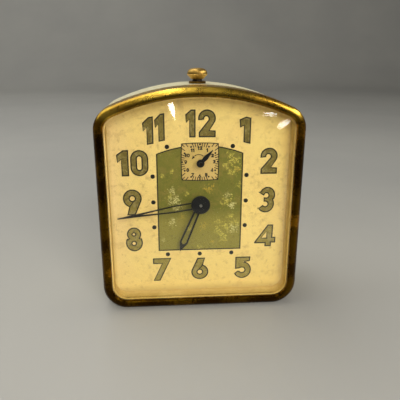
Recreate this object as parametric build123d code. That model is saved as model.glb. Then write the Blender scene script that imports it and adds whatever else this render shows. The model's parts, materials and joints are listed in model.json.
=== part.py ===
from build123d import *
import math
import os

# A wind-up alarm clock with a pressed case, in millimetres.
# Every piece is drawn in the dial's own frame and set upright when it is written:
# x to the right, y up the dial, z towards the viewer, with the dial's face at z = 0.
# A depth is counted back from the dial's face, so the depth of a piece is minus its z.

# Case, bezel and glass
bezel_half_width = 51.2
bezel_top = 58.65
bezel_bottom = -56.6
arch_radius = 106.0
top_corner = 11.8
bottom_corner = 12.6
bezel_band = 4.8
bezel_height = 9.9
bead_rise = 2.35
bead_outer_round = 3.2
bead_inner_round = 1.45
skirt_wall = 0.45
skirt_depth = 4.5
case_wall = 0.7
case_depth = 39.0
case_rear_round = 4.2
case_rear_flange = 3.1
front_lip_width = 3.65
sheet_gap = 0.05
dial_gap = 0.15
dial_thick = 0.5
spacer_wall = 1.1
spacer_cover = 0.6
glass_thick = 1.2
glass_rise = 5.0
glass_fullness = 8.0
glass_steps = (1.0, 0.995, 0.98, 0.95, 0.9, 0.82, 0.68, 0.3)
glass_edge_gap = 0.1
cover_thick = 0.7
cover_gap = 0.2
cover_lap = 2.8
cover_dish = 1.2
foot_radius = 3.2
foot_spread = 31.0
foot_depth = 32.0

# Movement frame
motion_space = 6.5
plate_thick = 1.2
plate_gap = 20.0
plate_half_width = 39.5
plate_top = 44.0
plate_bottom = -43.5
plate_corner = 5.0
pillar_x = 34.4
pillar_top_y = 30.0
pillar_low_y = -40.0
pillar_radius = 2.0
stud_radius = 1.3
standoff_radius = 2.5
screw_radius = 1.1
screw_head_radius = 2.3
screw_head_height = 1.1
screw_tip_gap = 3.4
screw_bevel = 0.4
screw_slot = 0.7
thread_reach = 2.0
hole_clearance = 0.15
dial_foot_x = 33.0
dial_foot_y = 22.0
dial_foot_radius = 1.5

# Running fits and the small clearances of contacts that come and go
running_fit = 0.05
free_gap = 0.1
piercing_gap = 0.5
drill_over = 1.0
pivot_radius = 0.45
end_shake = 0.2
contact_gap = 0.12

# Going train: teeth, and the distances between the arbors
great_teeth = 54
centre_pinion_teeth = 9
centre_teeth = 48
third_pinion_teeth = 6
third_teeth = 48
fourth_pinion_teeth = 6
fourth_teeth = 45
escape_pinion_teeth = 6
escape_teeth = 15
great_distance = 27.0
great_angle = -39.0
third_distance = 14.85
third_angle = 35.0
fourth_distance = 13.5
fourth_angle = 70.0
escape_distance = 12.8
escape_angle = 100.0
train_arbor_radius = 0.7
centre_hub_radius = 2.1

# Motion works, between the dial and the front plate
cannon_teeth = 12
minute_wheel_teeth = 36
minute_pinion_teeth = 12
hour_teeth = 48
alarm_wheel_teeth = 48
alarm_height = 21.0
minute_wheel_angle = 200.0
minute_arbor_radius = 0.75
cannon_pipe_wall = 0.5
hour_pipe_wall = 0.6
alarm_arbor_radius = 0.8

# Springs and winding arbors
winding_radius = 2.0
spring_width = 8.0
spring_strip = 0.4
spring_pitch = 2.6
spring_half_turns = 10
ratchet_teeth = 16
ratchet_radius = 6.6
ratchet_tooth = 1.0
ratchet_thick = 1.2
click_circle = 10.0
click_pin = 0.9
click_angle = 215.0
click_nose_angle = 262.0
great_thick = 1.4
wheel_thick = 0.8

# Escapement and balance
escape_radius = 8.1
lever_pin_radius = 0.3
lever_pin_circle = 8.9
lever_pin_angle = 30.0
lever_distance = 10.28
lever_thick = 0.7
lever_reach = 11.9
impulse_radius = 1.5
balance_radius = 10.5
balance_rim = 1.3
balance_screw_radius = 1.6
hairspring_radius = 8.0
hairspring_strip = 0.2
hairspring_pitch = 1.5
hairspring_half_turns = 7
regulator_reach = 9.5

# Alarm train and hammer
alarm_great_teeth = 48
alarm_pinion_teeth = 8
alarm_escape_teeth = 13
alarm_escape_distance = 21.0
alarm_escape_angle = 105.0
alarm_escape_radius = 6.3
verge_distance = 9.5
verge_angle = 80.0
verge_pin_circle = 7.3
verge_pin_angle = 35.0
hammer_length = 22.0
hammer_swing = 5.0
hammer_front_gap = 1.1
hammer_rear_gap = 2.3
hammer_arm = 1.2
hammer_head_length = 5.0
post_radius = 2.0
post_gap = 1.6

# Stop plunger on the top
plunger_depth = 20.0
plunger_radius = 1.2
neck_radius = 2.5
plunger_travel = 3.0
collar_radius = 4.4
collar_height = 1.1
knob_radius = 5.4
knob_height = 5.45
knob_equator = 2.2
knob_foot_lap = 0.8
knob_clearance = 1.1
knob_pin_radius = 1.5
knob_pin_length = 3.0

# Hands: angles are clockwise from twelve
minute_hand_length = 42.6
minute_hand_half_width = 1.9
minute_hand_bar = 0.62
minute_hand_angle = 261.0
hour_hand_length = 27.9
hour_hand_half_width = 2.15
hour_hand_bar = 0.95
hour_hand_angle = 202.6
alarm_hand_length = 12.8
alarm_hand_half_width = 1.4
alarm_hub_radius = 2.0
alarm_hand_angle = 42.5
hand_thick = 0.5
hour_hand_height = 3.9
minute_hand_height = 5.2
alarm_hand_height = 3.5
pin_top = 7.2
hub_cap_radius = 4.8
hub_cap_thick = 0.9
hub_cap_bevel = 0.35

# Keys and setting knobs at the back
key_boss_radius = 3.2
key_wing_radius = 4.6
key_wing_centre = 6.6
key_thick = 1.3
key_turn = 20.0
key_gap = 0.7
key_wing_stand = 4.3
key_socket = 3.0
key_window = 2.2
key_bevel = 0.8
alarm_key_turn = -35.0
set_knob_radius = 4.2
set_knob_height = 4.6
set_knob_gap = 2.2
knurls = 18

# Depths between the pieces of the movement
spring_front_gap = 1.0
spring_rear_gap = 1.4
train_gap = 1.2
third_wheel_gap = 2.0
fourth_wheel_lift = 5.8
lever_lift = 8.7
escape_wheel_gap = 0.6
roller_gap = 0.8
balance_lift = 4.1
hairspring_lift = 2.0
alarm_great_gap = 0.6
alarm_escape_gap = 0.6
minute_wheel_gap = 2.2
hour_wheel_gap = 2.0

# Depths that follow from the stack of pieces
front_plate_front = dial_thick + motion_space
front_plate_back = front_plate_front + plate_thick
back_plate_front = front_plate_back + plate_gap
back_plate_back = back_plate_front + plate_thick
lip_height = bezel_height - bead_rise
glass_seat = lip_height - glass_thick
glass_top = lip_height + glass_rise
cover_rear = case_depth + cover_thick
cover_floor = cover_rear - cover_dish
cover_inside = cover_floor - cover_thick
key_depth = cover_floor + key_gap
key_wing_depth = key_depth + key_wing_stand
back_reach = key_wing_depth + key_wing_radius
case_inset = skirt_wall + sheet_gap
knob_foot = bezel_top - case_inset + collar_height + knob_clearance

# Depths of the wheels between the plates
spring_depth = front_plate_back + spring_front_gap
great_depth = spring_depth + spring_width + spring_rear_gap
ratchet_depth = great_depth + great_thick
centre_wheel_depth = ratchet_depth + ratchet_thick + train_gap
third_wheel_depth = centre_wheel_depth + wheel_thick + third_wheel_gap
fourth_wheel_depth = front_plate_back + fourth_wheel_lift
lever_depth = front_plate_back + lever_lift
escape_wheel_depth = lever_depth + lever_thick + escape_wheel_gap
roller_depth = lever_depth + lever_thick + roller_gap
balance_depth = back_plate_front - balance_lift
hairspring_depth = back_plate_front - hairspring_lift
alarm_great_depth = ratchet_depth + alarm_great_gap
alarm_escape_depth = great_depth - alarm_escape_gap
minute_wheel_depth = front_plate_front - minute_wheel_gap
hour_wheel_depth = dial_thick + hour_wheel_gap

# The space behind the movement, which the posts, the screws and the hammer share
rear_space = cover_inside - back_plate_back
screw_reach = rear_space - screw_tip_gap
hammer_head_radius = (rear_space - hammer_front_gap - hammer_rear_gap) / 2
hammer_depth = back_plate_back + hammer_front_gap + hammer_head_radius


def polar(centre, radius, degrees):
    """The point at a radius and an angle from a centre."""
    turn = math.radians(degrees)
    return (centre[0] + radius * math.cos(turn), centre[1] + radius * math.sin(turn))


# Places of the arbors on the dial plane
hand_arbor = (0.0, 0.0)
alarm_arbor = (0.0, alarm_height)
time_spring = polar(hand_arbor, great_distance, great_angle)
alarm_spring = (-time_spring[0], time_spring[1])
third_arbor = polar(hand_arbor, third_distance, third_angle)
fourth_arbor = polar(third_arbor, fourth_distance, fourth_angle)
escape_arbor = polar(fourth_arbor, escape_distance, escape_angle)
lever_arbor = (escape_arbor[0] - lever_distance, escape_arbor[1])
balance_arbor = (lever_arbor[0] - lever_reach, lever_arbor[1])
alarm_escape_arbor = polar(alarm_spring, alarm_escape_distance, alarm_escape_angle)
verge_arbor = polar(alarm_escape_arbor, verge_distance, verge_angle)
pillars = [(x, y) for x in (-pillar_x, pillar_x) for y in (pillar_low_y, pillar_top_y)]
dial_feet = [(x, y) for x in (-dial_foot_x, dial_foot_x) for y in (-dial_foot_y, dial_foot_y)]

# Modules: each follows from a centre distance and the teeth that share it
great_module = 2 * great_distance / (great_teeth + centre_pinion_teeth)
centre_module = 2 * third_distance / (centre_teeth + third_pinion_teeth)
third_module = 2 * fourth_distance / (third_teeth + fourth_pinion_teeth)
fourth_module = 2 * escape_distance / (fourth_teeth + escape_pinion_teeth)
hour_module = 2 * alarm_height / (hour_teeth + alarm_wheel_teeth)
minute_distance = hour_module * (minute_pinion_teeth + hour_teeth) / 2
cannon_module = 2 * minute_distance / (cannon_teeth + minute_wheel_teeth)
alarm_module = 2 * alarm_escape_distance / (alarm_great_teeth + alarm_pinion_teeth)
minute_wheel_arbor = polar(hand_arbor, minute_distance, minute_wheel_angle)


def rod(radius, near, far, at=hand_arbor):
    """A round bar between two depths."""
    return Pos(at[0], at[1], -(near + far) / 2) * Cylinder(radius, far - near)


def tube(outer, inner, near, far, at=hand_arbor):
    """A round tube between two depths."""
    return rod(outer, near, far, at) - rod(inner, near - 1, far + 1, at)


def slab(face, near, far):
    """A flat shape made solid between two depths."""
    return extrude(Pos(0, 0, -far) * face, far - near)


def capsule(start, end, width):
    """A straight bar with round ends, as a flat shape."""
    middle = ((start[0] + end[0]) / 2, (start[1] + end[1]) / 2)
    length = math.dist(start, end)
    turn = math.degrees(math.atan2(end[1] - start[1], end[0] - start[0]))
    bar = Pos(*middle) * Rot(Z=turn) * Rectangle(length, width)
    return bar + Pos(*start) * Circle(width / 2) + Pos(*end) * Circle(width / 2)


def arc_slot(centre, radius, start, end, width):
    """A curved slot about a centre, as a flat shape, between two angles in degrees."""
    reach = 2 * radius
    wedge = make_face(Polyline(centre, polar(centre, reach, start), polar(centre, reach, end), centre))
    band = Pos(*centre) * (Circle(radius + width / 2) - Circle(radius - width / 2))
    ends = [Pos(*polar(centre, radius, turn)) * Circle(width / 2) for turn in (start, end)]
    return (band & wedge) + ends


def toothed(teeth, module, phase, addendum, dedendum, tip, root, centre=hand_arbor):
    """A ring of straight-sided teeth; tip and root are shares of the pitch."""
    pitch = 2 * math.pi / teeth
    outer = module * (teeth / 2 + addendum)
    inner = module * (teeth / 2 - dedendum)
    points = []
    for k in range(teeth):
        middle = phase + k * pitch
        for radius, side in ((inner, -root), (outer, -tip), (outer, tip), (inner, root)):
            turn = math.degrees(middle + side * pitch / 2)
            points.append(polar(centre, radius, turn))
    return make_face(Polyline(*points, close=True))


def train_wheel(teeth, module, phase, centre):
    """Teeth that drive a lantern pinion."""
    return toothed(teeth, module, phase, 0.95, 1.0, 0.16, 0.5, centre)


def motion_wheel(teeth, module, phase, centre):
    """Teeth of the motion works, which mesh wheel to wheel."""
    return toothed(teeth, module, phase, 0.85, 1.15, 0.2, 0.64, centre)


def meshed_phase(teeth_a, phase_a, at_a, teeth_b, at_b):
    """The turn of wheel b at which its teeth stand in the gaps of wheel a."""
    way = math.atan2(at_b[1] - at_a[1], at_b[0] - at_a[0])
    pitches = (way - phase_a) * teeth_a / (2 * math.pi)
    return way + math.pi - (2 * math.pi / teeth_b) * (0.5 - pitches)


def windows(centre, inner, outer, spokes, bar, turn=0.0):
    """The openings between a wheel's hub, rim and spokes, as a flat shape."""
    ring = Pos(*centre) * (Circle(outer) - Circle(inner))
    for k in range(spokes):
        way = turn + 360.0 * k / spokes
        ring -= Pos(*polar(centre, outer / 2, way)) * Rot(Z=way) * Rectangle(outer * 1.2, bar)
    return ring


def lantern(teeth, module, phase, arbor_radius, near, far, shroud, at):
    """A lantern pinion: two brass shrouds with round steel trundles between them."""
    pitch_radius = teeth * module / 2
    trundle = 0.2 * math.pi * module
    reach = pitch_radius + trundle + 0.35
    pinion = rod(reach, near, near + shroud, at) + rod(reach, far - shroud, far, at)
    for k in range(teeth):
        turn = math.degrees(phase) + 360.0 * k / teeth
        pinion += rod(trundle, near + shroud / 2, far - shroud / 2, polar(at, pitch_radius, turn))
    return pinion + rod(arbor_radius, near, far, at)


def pivoted_arbor(radius, at, rear=back_plate_back):
    """An arbor between the plates, with a pivot in each plate."""
    body = rod(radius, front_plate_back + end_shake, back_plate_front - end_shake, at)
    return body + rod(pivot_radius, front_plate_front, rear, at)


def spiral(centre, inner, strip, pitch, half_turns, near, far, turn, tail=None):
    """A flat spring wound from half circles about two centres, with an optional straight tail."""
    step = pitch / 2
    low = []
    high = []
    for k in range(half_turns):
        middle = step if k % 2 else 0.0
        radius = inner + k * step
        side = -1 if k % 2 else 1
        for edges, reach in ((low, radius), (high, radius + strip)):
            start = (middle + side * reach, 0.0)
            top = (middle, side * reach)
            edges.append(ThreePointArc(start, top, (middle - side * reach, 0.0)))
    first = Line(low[0] @ 0, high[0] @ 0)
    last = Line(low[-1] @ 1, high[-1] @ 1)
    face = make_face([first, last] + low + high)
    if tail is not None:
        face += tail
    return slab(Pos(*centre) * Rot(Z=turn) * face, near, far)


def clock_outline(inset):
    """The clock's front outline as a face, drawn in by inset all round."""
    half = bezel_half_width - inset
    top = bezel_top - inset
    low = bezel_bottom + inset
    arch = arch_radius - inset
    shoulder = top - arch + math.sqrt(arch**2 - half**2)
    sides = Polyline((-half, shoulder), (-half, low), (half, low), (half, shoulder))
    face = make_face([sides, ThreePointArc((half, shoulder), (0, top), (-half, shoulder))])
    face = fillet(face.vertices().sort_by(Axis.Y)[-2:], top_corner - inset)
    return fillet(face.vertices().sort_by(Axis.Y)[:2], bottom_corner - inset)


def make_bezel():
    """A brass ring with a rounded bead, whose skirt goes over the front of the case."""
    ring = slab(clock_outline(0) - clock_outline(bezel_band), -bezel_height, skirt_depth)
    front = ring.faces().sort_by(Axis.Z)[-1]
    ring = fillet(front.outer_wire().edges(), bead_outer_round)
    front = ring.faces().sort_by(Axis.Z)[-1]
    ring = fillet(front.inner_wires()[0].edges(), bead_inner_round)
    return ring - slab(clock_outline(skirt_wall), -lip_height, skirt_depth)


def make_case_shell():
    """A deep drawn shell: a lip under the dial, a rounded rear edge and a flange for the cover."""
    outer = slab(clock_outline(case_inset), 0, case_depth)
    outer = fillet(outer.faces().sort_by(Axis.Z)[0].edges(), case_rear_round)
    wall_inset = case_inset + case_wall
    inner = slab(clock_outline(wall_inset), -1, case_depth - case_wall)
    inner = fillet(inner.faces().sort_by(Axis.Z)[0].edges(), case_rear_round - case_wall)
    shell = outer - inner
    shell -= slab(clock_outline(cover_opening()), case_depth - 2 * case_wall, case_depth + 1)
    lip = clock_outline(wall_inset) - clock_outline(wall_inset + front_lip_width)
    shell += slab(lip, dial_thick, dial_thick + case_wall)
    return shell - plunger_bar(neck_radius + 4 * running_fit, bezel_top - 8, bezel_top + 1)


def cover_opening():
    """How far the rear opening's edge lies inside the bezel's outline."""
    return case_inset + case_rear_round + case_rear_flange


def make_back_cover():
    """A pressed cover with a rim on the case's flange and a dished floor for keys and knobs."""
    opening = cover_opening()
    through_cover = (cover_inside - drill_over, cover_rear + drill_over)
    cover = slab(clock_outline(opening - cover_lap), case_depth, cover_rear)
    cover += slab(clock_outline(opening + cover_gap), cover_inside, cover_rear)
    cover -= slab(clock_outline(opening + cover_gap + cover_thick), cover_floor, cover_rear + 1)
    for at in (time_spring, alarm_spring):
        cover -= rod(winding_radius + piercing_gap, *through_cover, at)
    for at in (hand_arbor, alarm_arbor):
        cover -= rod(alarm_arbor_radius + piercing_gap, *through_cover, at)
    for at in pillars:
        cover -= rod(screw_radius + hole_clearance, *through_cover, at)
    slot = arc_slot(balance_arbor, regulator_reach, 60, 120, 1.8)
    return cover - slab(slot, *through_cover)


def pillow(inset, base):
    """A solid pillow: steep at its foot, softly rounded, and nearly flat in the middle."""
    foot = clock_outline(inset)
    sections = []
    for wide in glass_steps:
        height = base + glass_rise * math.sqrt(1 - wide**glass_fullness)
        sections.append(Pos(0, 0, height) * scale(foot, by=wide))
    return loft(sections, ruled=True)


def make_crystal():
    """A pillow-shaped glass with a flat edge that is held under the bezel's lip."""
    edge = slab(clock_outline(case_inset), -lip_height, -glass_seat)
    dome = pillow(bezel_band + glass_edge_gap, lip_height)
    hollow = pillow(bezel_band + glass_thick, glass_seat)
    return edge + dome - hollow


def make_spacer_ring():
    """A thin ring that stands on the dial and carries the glass."""
    inset = bezel_band - spacer_cover
    return slab(clock_outline(inset) - clock_outline(inset + spacer_wall), -glass_seat, 0)


def make_dial():
    """The printed dial plate, with four feet that stand on the front plate."""
    dial = slab(clock_outline(case_inset + case_wall + dial_gap), 0, dial_thick)
    dial -= rod(hour_pipe_outer() + 0.25, -1, dial_thick + 1)
    dial -= rod(alarm_arbor_radius + 0.3, -1, dial_thick + 1, alarm_arbor)
    for at in dial_feet:
        dial += rod(dial_foot_radius, dial_thick, front_plate_front, at)
        dial += rod(dial_foot_radius / 2, front_plate_front, front_plate_back, at)
    return dial


def cannon_outer():
    """Outer radius of the cannon pinion's pipe."""
    return minute_arbor_radius + running_fit / 2 + cannon_pipe_wall


def hour_pipe_outer():
    """Outer radius of the hour wheel's pipe."""
    return cannon_outer() + running_fit + hour_pipe_wall


def plunger_bar(radius, low, high):
    """A round bar along the plunger's upright line."""
    bar = Rot(X=-90) * Cylinder(radius, high - low)
    return Pos(0, (low + high) / 2, -plunger_depth) * bar


def plate_blank(near, far):
    """A movement plate with its corners rounded and three round openings."""
    height = plate_top - plate_bottom
    face = Pos(0, (plate_top + plate_bottom) / 2) * RectangleRounded(
        2 * plate_half_width, height, plate_corner)
    for at, radius in (((0, -31), 6.0), ((29, 16), 5.0), ((-13, 13), 4.0)):
        face -= Pos(*at) * Circle(radius)
    return slab(face, near, far)


def drill(plate, near, far, holes):
    """Round holes through a plate, from a list of places and radii."""
    for at, radius in holes:
        plate -= rod(radius, near - 1, far + 1, at)
    return plate


def pivot_holes():
    """The holes that both plates have for the pivots."""
    places = (third_arbor, fourth_arbor, escape_arbor, lever_arbor, alarm_escape_arbor)
    return [(at, pivot_radius + running_fit) for at in places]


def make_front_plate():
    """The front plate, with an ear bent back to guide the stop plunger."""
    plate = plate_blank(front_plate_front, front_plate_back)
    holes = pivot_holes() + [
        (hand_arbor, minute_arbor_radius + running_fit),
        (alarm_arbor, alarm_arbor_radius + running_fit),
        (time_spring, winding_radius - 0.4 + running_fit),
        (alarm_spring, winding_radius - 0.4 + running_fit),
        (verge_arbor, pivot_radius + running_fit),
        (balance_arbor, balance_screw_radius),
        (minute_wheel_arbor, alarm_arbor_radius),
    ]
    holes += [(at, stud_radius) for at in pillars]
    holes += [(at, dial_foot_radius / 2) for at in dial_feet]
    plate = drill(plate, front_plate_front, front_plate_back, holes)
    ear_reach = plunger_depth + 3.0
    ear = Pos(0, plate_top - plate_thick / 2, -(front_plate_back + ear_reach) / 2) * Box(
        8, plate_thick, ear_reach - front_plate_back)
    return plate + ear - plunger_bar(plunger_radius + running_fit, plate_top - 3, plate_top + 1)


def make_back_plate():
    """The back plate, with a curved slot for the regulator's pins."""
    plate = plate_blank(back_plate_front, back_plate_back)
    holes = pivot_holes() + [
        (hand_arbor, minute_arbor_radius + running_fit),
        (alarm_arbor, alarm_arbor_radius + running_fit),
        (time_spring, winding_radius + running_fit),
        (alarm_spring, winding_radius + running_fit),
        (verge_arbor, train_arbor_radius + running_fit),
        (balance_arbor, balance_screw_radius),
    ]
    holes += [(at, stud_radius) for at in pillars]
    plate = drill(plate, back_plate_front, back_plate_back, holes)
    slot = arc_slot(balance_arbor, hairspring_radius, -116, -64, 1.7)
    return plate - slab(slot, back_plate_front - 1, back_plate_back + 1)


def make_pillars():
    """Four pillars, riveted in the front plate, with a threaded stud through the back plate."""
    bars = []
    for at in pillars:
        bar = rod(pillar_radius, front_plate_back, back_plate_front, at)
        bars.append(bar + rod(stud_radius, front_plate_front, back_plate_back + thread_reach, at))
    return bars


def make_standoffs():
    """Four hexagonal posts that clamp the back plate and carry the cover."""
    posts = []
    for at in pillars:
        post = slab(Pos(*at) * RegularPolygon(standoff_radius, 6), back_plate_back, cover_inside)
        post -= rod(stud_radius, back_plate_back - drill_over, back_plate_back + thread_reach, at)
        posts.append(post - rod(screw_radius, cover_inside - screw_reach, cover_inside + 1, at))
    return posts


def make_cover_screws():
    """Four slotted screws through the cover into the posts."""
    screws = []
    for at in pillars:
        screw = rod(screw_head_radius, cover_floor, cover_floor + screw_head_height, at)
        screw = chamfer(screw.faces().sort_by(Axis.Z)[0].edges(), screw_bevel)
        screw += rod(screw_radius, cover_inside - screw_reach + piercing_gap, cover_floor, at)
        slot = Pos(at[0], at[1], -cover_floor - screw_head_height) * Box(
            3 * screw_head_radius, screw_slot, screw_head_height)
        screws.append(screw - slot)
    return screws


def make_rear_feet():
    """Two small feet under the rear of the case, level with the bezel's lower edge."""
    feet = []
    for x in (-foot_spread, foot_spread):
        foot = Rot(X=-90) * Cylinder(foot_radius, case_inset)
        feet.append(Pos(x, bezel_bottom + case_inset / 2, -foot_depth) * foot)
    return feet


def make_collar():
    """The brass collar that guides the plunger's neck through the top of the case."""
    foot = bezel_top - case_inset
    bore = neck_radius + running_fit
    collar = plunger_bar(collar_radius, foot - 1.0, foot + collar_height)
    collar -= slab(clock_outline(case_inset), 0, case_depth)
    collar = chamfer(collar.edges().group_by(Axis.Y)[-1], 0.3)
    collar += plunger_bar(neck_radius + 4 * running_fit, foot - 1.5, foot + 0.5)
    return collar - plunger_bar(bore, foot - 3, foot + collar_height + 1)


def make_stop_plunger():
    """The plunger, pushed in: a dark neck in the collar and a thin rod to the hammer's stop wire."""
    neck_low = bezel_top - case_inset - plunger_travel - neck_radius
    tip = verge_tail_top() + contact_gap
    plunger = plunger_bar(neck_radius, neck_low, knob_foot)
    plunger += plunger_bar(plunger_radius, tip, neck_low)
    return plunger + plunger_bar(knob_pin_radius, knob_foot, knob_foot + knob_pin_length)


def verge_tail_end():
    """Where the hammer's stop wire ends, just left of the plunger's line."""
    return (-1.6, verge_arbor[1] + 14.8)


def verge_tail_top():
    """The highest that the stop wire's end reaches as the hammer swings."""
    length = math.dist(verge_arbor, verge_tail_end())
    way = math.atan2(verge_tail_end()[1] - verge_arbor[1], verge_tail_end()[0] - verge_arbor[0])
    return verge_arbor[1] + length * math.sin(way + math.radians(hammer_swing)) + 0.6


def make_stop_knob():
    """The turned knob: an upturned cone below, a sharp equator and a full dome on top."""
    shoulder = 0.96 * knob_radius
    dome_low = knob_equator + 0.05 * knob_height
    half = make_face([
        Polyline((0, knob_height), (0, 0), (neck_radius + knob_foot_lap, 0),
                 (knob_radius, knob_equator), (shoulder, dome_low)),
        Spline((shoulder, dome_low), (0, knob_height), tangents=((0, 1), (-1, 0))),
    ])
    knob = revolve(half, Axis.Y)
    knob -= Pos(0, knob_pin_length / 2, 0) * Rot(X=-90) * Cylinder(knob_pin_radius, knob_pin_length)
    return Pos(0, knob_foot, -plunger_depth) * knob


def make_mainspring(centre, pillar, hand):
    """A coiled strip from the arbor to the loop round a pillar; hand is 1 or -1."""
    inner = winding_radius + 0.1
    step = spring_pitch / 2
    out_radius = inner + (spring_half_turns - 1) * step + spring_strip
    loop = pillar_radius + running_fit
    end_x = step + out_radius
    loop_x = end_x - loop - spring_strip
    away = math.dist(centre, pillar)
    loop_y = math.sqrt(away**2 - loop_x**2)
    ring = Pos(loop_x, loop_y) * (Circle(loop + spring_strip) - Circle(loop))
    tail = Pos(end_x - spring_strip / 2, loop_y / 2) * Rectangle(spring_strip, loop_y) + ring
    way = math.degrees(math.atan2(pillar[1] - centre[1], hand * (pillar[0] - centre[0])))
    turn = way - math.degrees(math.atan2(loop_y, loop_x))
    far = spring_depth + spring_width
    spring = spiral((0, 0), inner, spring_strip, spring_pitch, spring_half_turns,
                    spring_depth, far, turn, tail)
    if hand < 0:
        spring = mirror(spring, about=Plane.YZ)
    return Pos(centre[0], centre[1], 0) * spring


def make_great_wheel(centre, teeth, module, depth):
    """A great wheel, free on its winding arbor, with the click's pin on its back."""
    face = train_wheel(teeth, module, 0.0, centre)
    rim = teeth * module / 2 - 3.2
    face -= windows(centre, click_circle + 2.4, rim, 5, 3.0, 36.0)
    wheel = slab(face, depth, depth + great_thick)
    wheel -= rod(winding_radius + running_fit, depth - 1, depth + great_thick + 1, centre)
    return wheel + rod(click_pin, depth, depth + great_thick + ratchet_thick, click_pivot(centre))


def click_pivot(centre):
    """The click's pivot on a great wheel."""
    return polar(centre, click_circle, click_angle)


def make_ratchet(centre, depth):
    """A ratchet wheel with saw teeth, fixed on the winding arbor."""
    points = []
    for k in range(ratchet_teeth):
        way = 360.0 * k / ratchet_teeth
        points.append(polar(centre, ratchet_radius - ratchet_tooth, way))
        points.append(polar(centre, ratchet_radius, way))
    face = make_face(Polyline(*points, close=True)) - Pos(*centre) * Circle(winding_radius)
    return slab(face, depth + 0.1, depth + ratchet_thick)


def make_click(centre, depth):
    """A click whose nose stands just clear of the ratchet's tooth tips, as while it is wound."""
    pivot = click_pivot(centre)
    nose = polar(centre, ratchet_radius + contact_gap + 0.5, click_nose_angle)
    face = capsule(pivot, nose, 1.0) + Pos(*pivot) * Circle(1.9)
    face -= Pos(*pivot) * Circle(click_pin + running_fit)
    return slab(face, depth + 0.1, depth + ratchet_thick)


def make_winding_arbor(centre):
    """A winding arbor with a front pivot and a long rear end for the key."""
    arbor = rod(winding_radius, front_plate_back + end_shake, key_depth + key_socket, centre)
    return arbor + rod(winding_radius - 0.4, front_plate_front, front_plate_back + end_shake, centre)


def make_key(centre, turn):
    """A butterfly key: a boss on the arbor's end and two pierced wings."""
    face = Pos(0, key_wing_depth - 1.0) * Rectangle(2 * key_wing_centre, 4.0)
    for side in (-1, 1):
        at = Pos(side * key_wing_centre, key_wing_depth)
        face += at * Circle(key_wing_radius)
    for side in (-1, 1):
        face -= Pos(side * key_wing_centre, key_wing_depth) * Circle(key_wing_radius - key_window)
    wings = extrude(face, key_thick / 2, both=True)
    wings = Rot(X=-90) * wings
    boss = rod(key_boss_radius, key_depth, key_wing_depth + key_thick)
    boss = chamfer(boss.faces().sort_by(Axis.Z)[0].edges(), key_bevel)
    key = wings + boss - rod(winding_radius, key_depth - drill_over, key_depth + key_socket)
    return Pos(centre[0], centre[1], 0) * Rot(Z=turn) * key


def make_set_knob(centre, arbor_radius):
    """A small knurled setting knob on the end of its arbor."""
    near = cover_floor + set_knob_gap
    face = Circle(set_knob_radius)
    for k in range(knurls):
        face -= Pos(*polar(hand_arbor, set_knob_radius + 0.15, 360.0 * k / knurls)) * Circle(0.5)
    knob = slab(Pos(*centre) * face, near, near + set_knob_height)
    return knob - rod(arbor_radius, near - 1, near + set_knob_height - 1.2, centre)


def set_arbor_end():
    """The depth at which the setting arbors end inside their knobs."""
    return cover_floor + set_knob_gap + set_knob_height - 1.2


def spoked_wheel(teeth, module, centre, depth, bore, hub, bar):
    """A train wheel with four spokes and a thicker hub."""
    face = train_wheel(teeth, module, 0.0, centre)
    rim = module * (teeth / 2 - 1.0) - 1.7
    face -= windows(centre, hub + 0.6, rim, 4, bar, 45.0)
    wheel = slab(face, depth, depth + wheel_thick)
    wheel += rod(hub, depth - 0.4, depth + wheel_thick + 0.4, centre)
    return wheel - rod(bore, depth - 2, depth + wheel_thick + 2, centre)


def make_centre_pinion():
    """The centre pinion on its hub, free on the minute arbor."""
    phase = meshed_phase(great_teeth, 0.0, time_spring, centre_pinion_teeth, hand_arbor)
    pinion = lantern(centre_pinion_teeth, great_module, phase, centre_hub_radius,
                     great_depth - 1.4, ratchet_depth + 1.2, 0.6, hand_arbor)
    pinion += rod(centre_hub_radius, ratchet_depth, centre_wheel_depth + wheel_thick + 1.0)
    return pinion - rod(minute_arbor_radius + running_fit, great_depth - 3, third_wheel_depth)


def make_clutch_spring():
    """A sprung washer that presses the centre wheel against the minute arbor's collar."""
    near = centre_wheel_depth + wheel_thick + 1.0
    return tube(centre_hub_radius, minute_arbor_radius, near + 0.1, near + 0.4)


def make_minute_arbor():
    """The minute arbor, from the hands through both plates to the setting knob."""
    near = centre_wheel_depth + wheel_thick + 1.4
    return rod(minute_arbor_radius, -pin_top, set_arbor_end()) + rod(1.6, near, near + 0.6)


def make_third_arbor():
    """The third arbor, whose lantern pinion is driven by the centre wheel."""
    phase = meshed_phase(centre_teeth, 0.0, hand_arbor, third_pinion_teeth, third_arbor)
    pinion = lantern(third_pinion_teeth, centre_module, phase, train_arbor_radius,
                     centre_wheel_depth - 0.9, centre_wheel_depth + wheel_thick + 0.9, 0.5, third_arbor)
    return pinion + pivoted_arbor(train_arbor_radius, third_arbor)


def make_fourth_arbor():
    """The fourth arbor, whose lantern pinion is driven by the third wheel."""
    phase = meshed_phase(third_teeth, 0.0, third_arbor, fourth_pinion_teeth, fourth_arbor)
    pinion = lantern(fourth_pinion_teeth, third_module, phase, train_arbor_radius,
                     third_wheel_depth - 0.9, third_wheel_depth + wheel_thick + 0.9, 0.5, fourth_arbor)
    return pinion + pivoted_arbor(train_arbor_radius, fourth_arbor)


def make_escape_arbor():
    """The escape arbor, whose lantern pinion is driven by the fourth wheel."""
    phase = meshed_phase(fourth_teeth, 0.0, fourth_arbor, escape_pinion_teeth, escape_arbor)
    pinion = lantern(escape_pinion_teeth, fourth_module, phase, train_arbor_radius,
                     fourth_wheel_depth - 0.9, fourth_wheel_depth + wheel_thick + 0.9, 0.5, escape_arbor)
    return pinion + pivoted_arbor(train_arbor_radius, escape_arbor)


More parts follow.
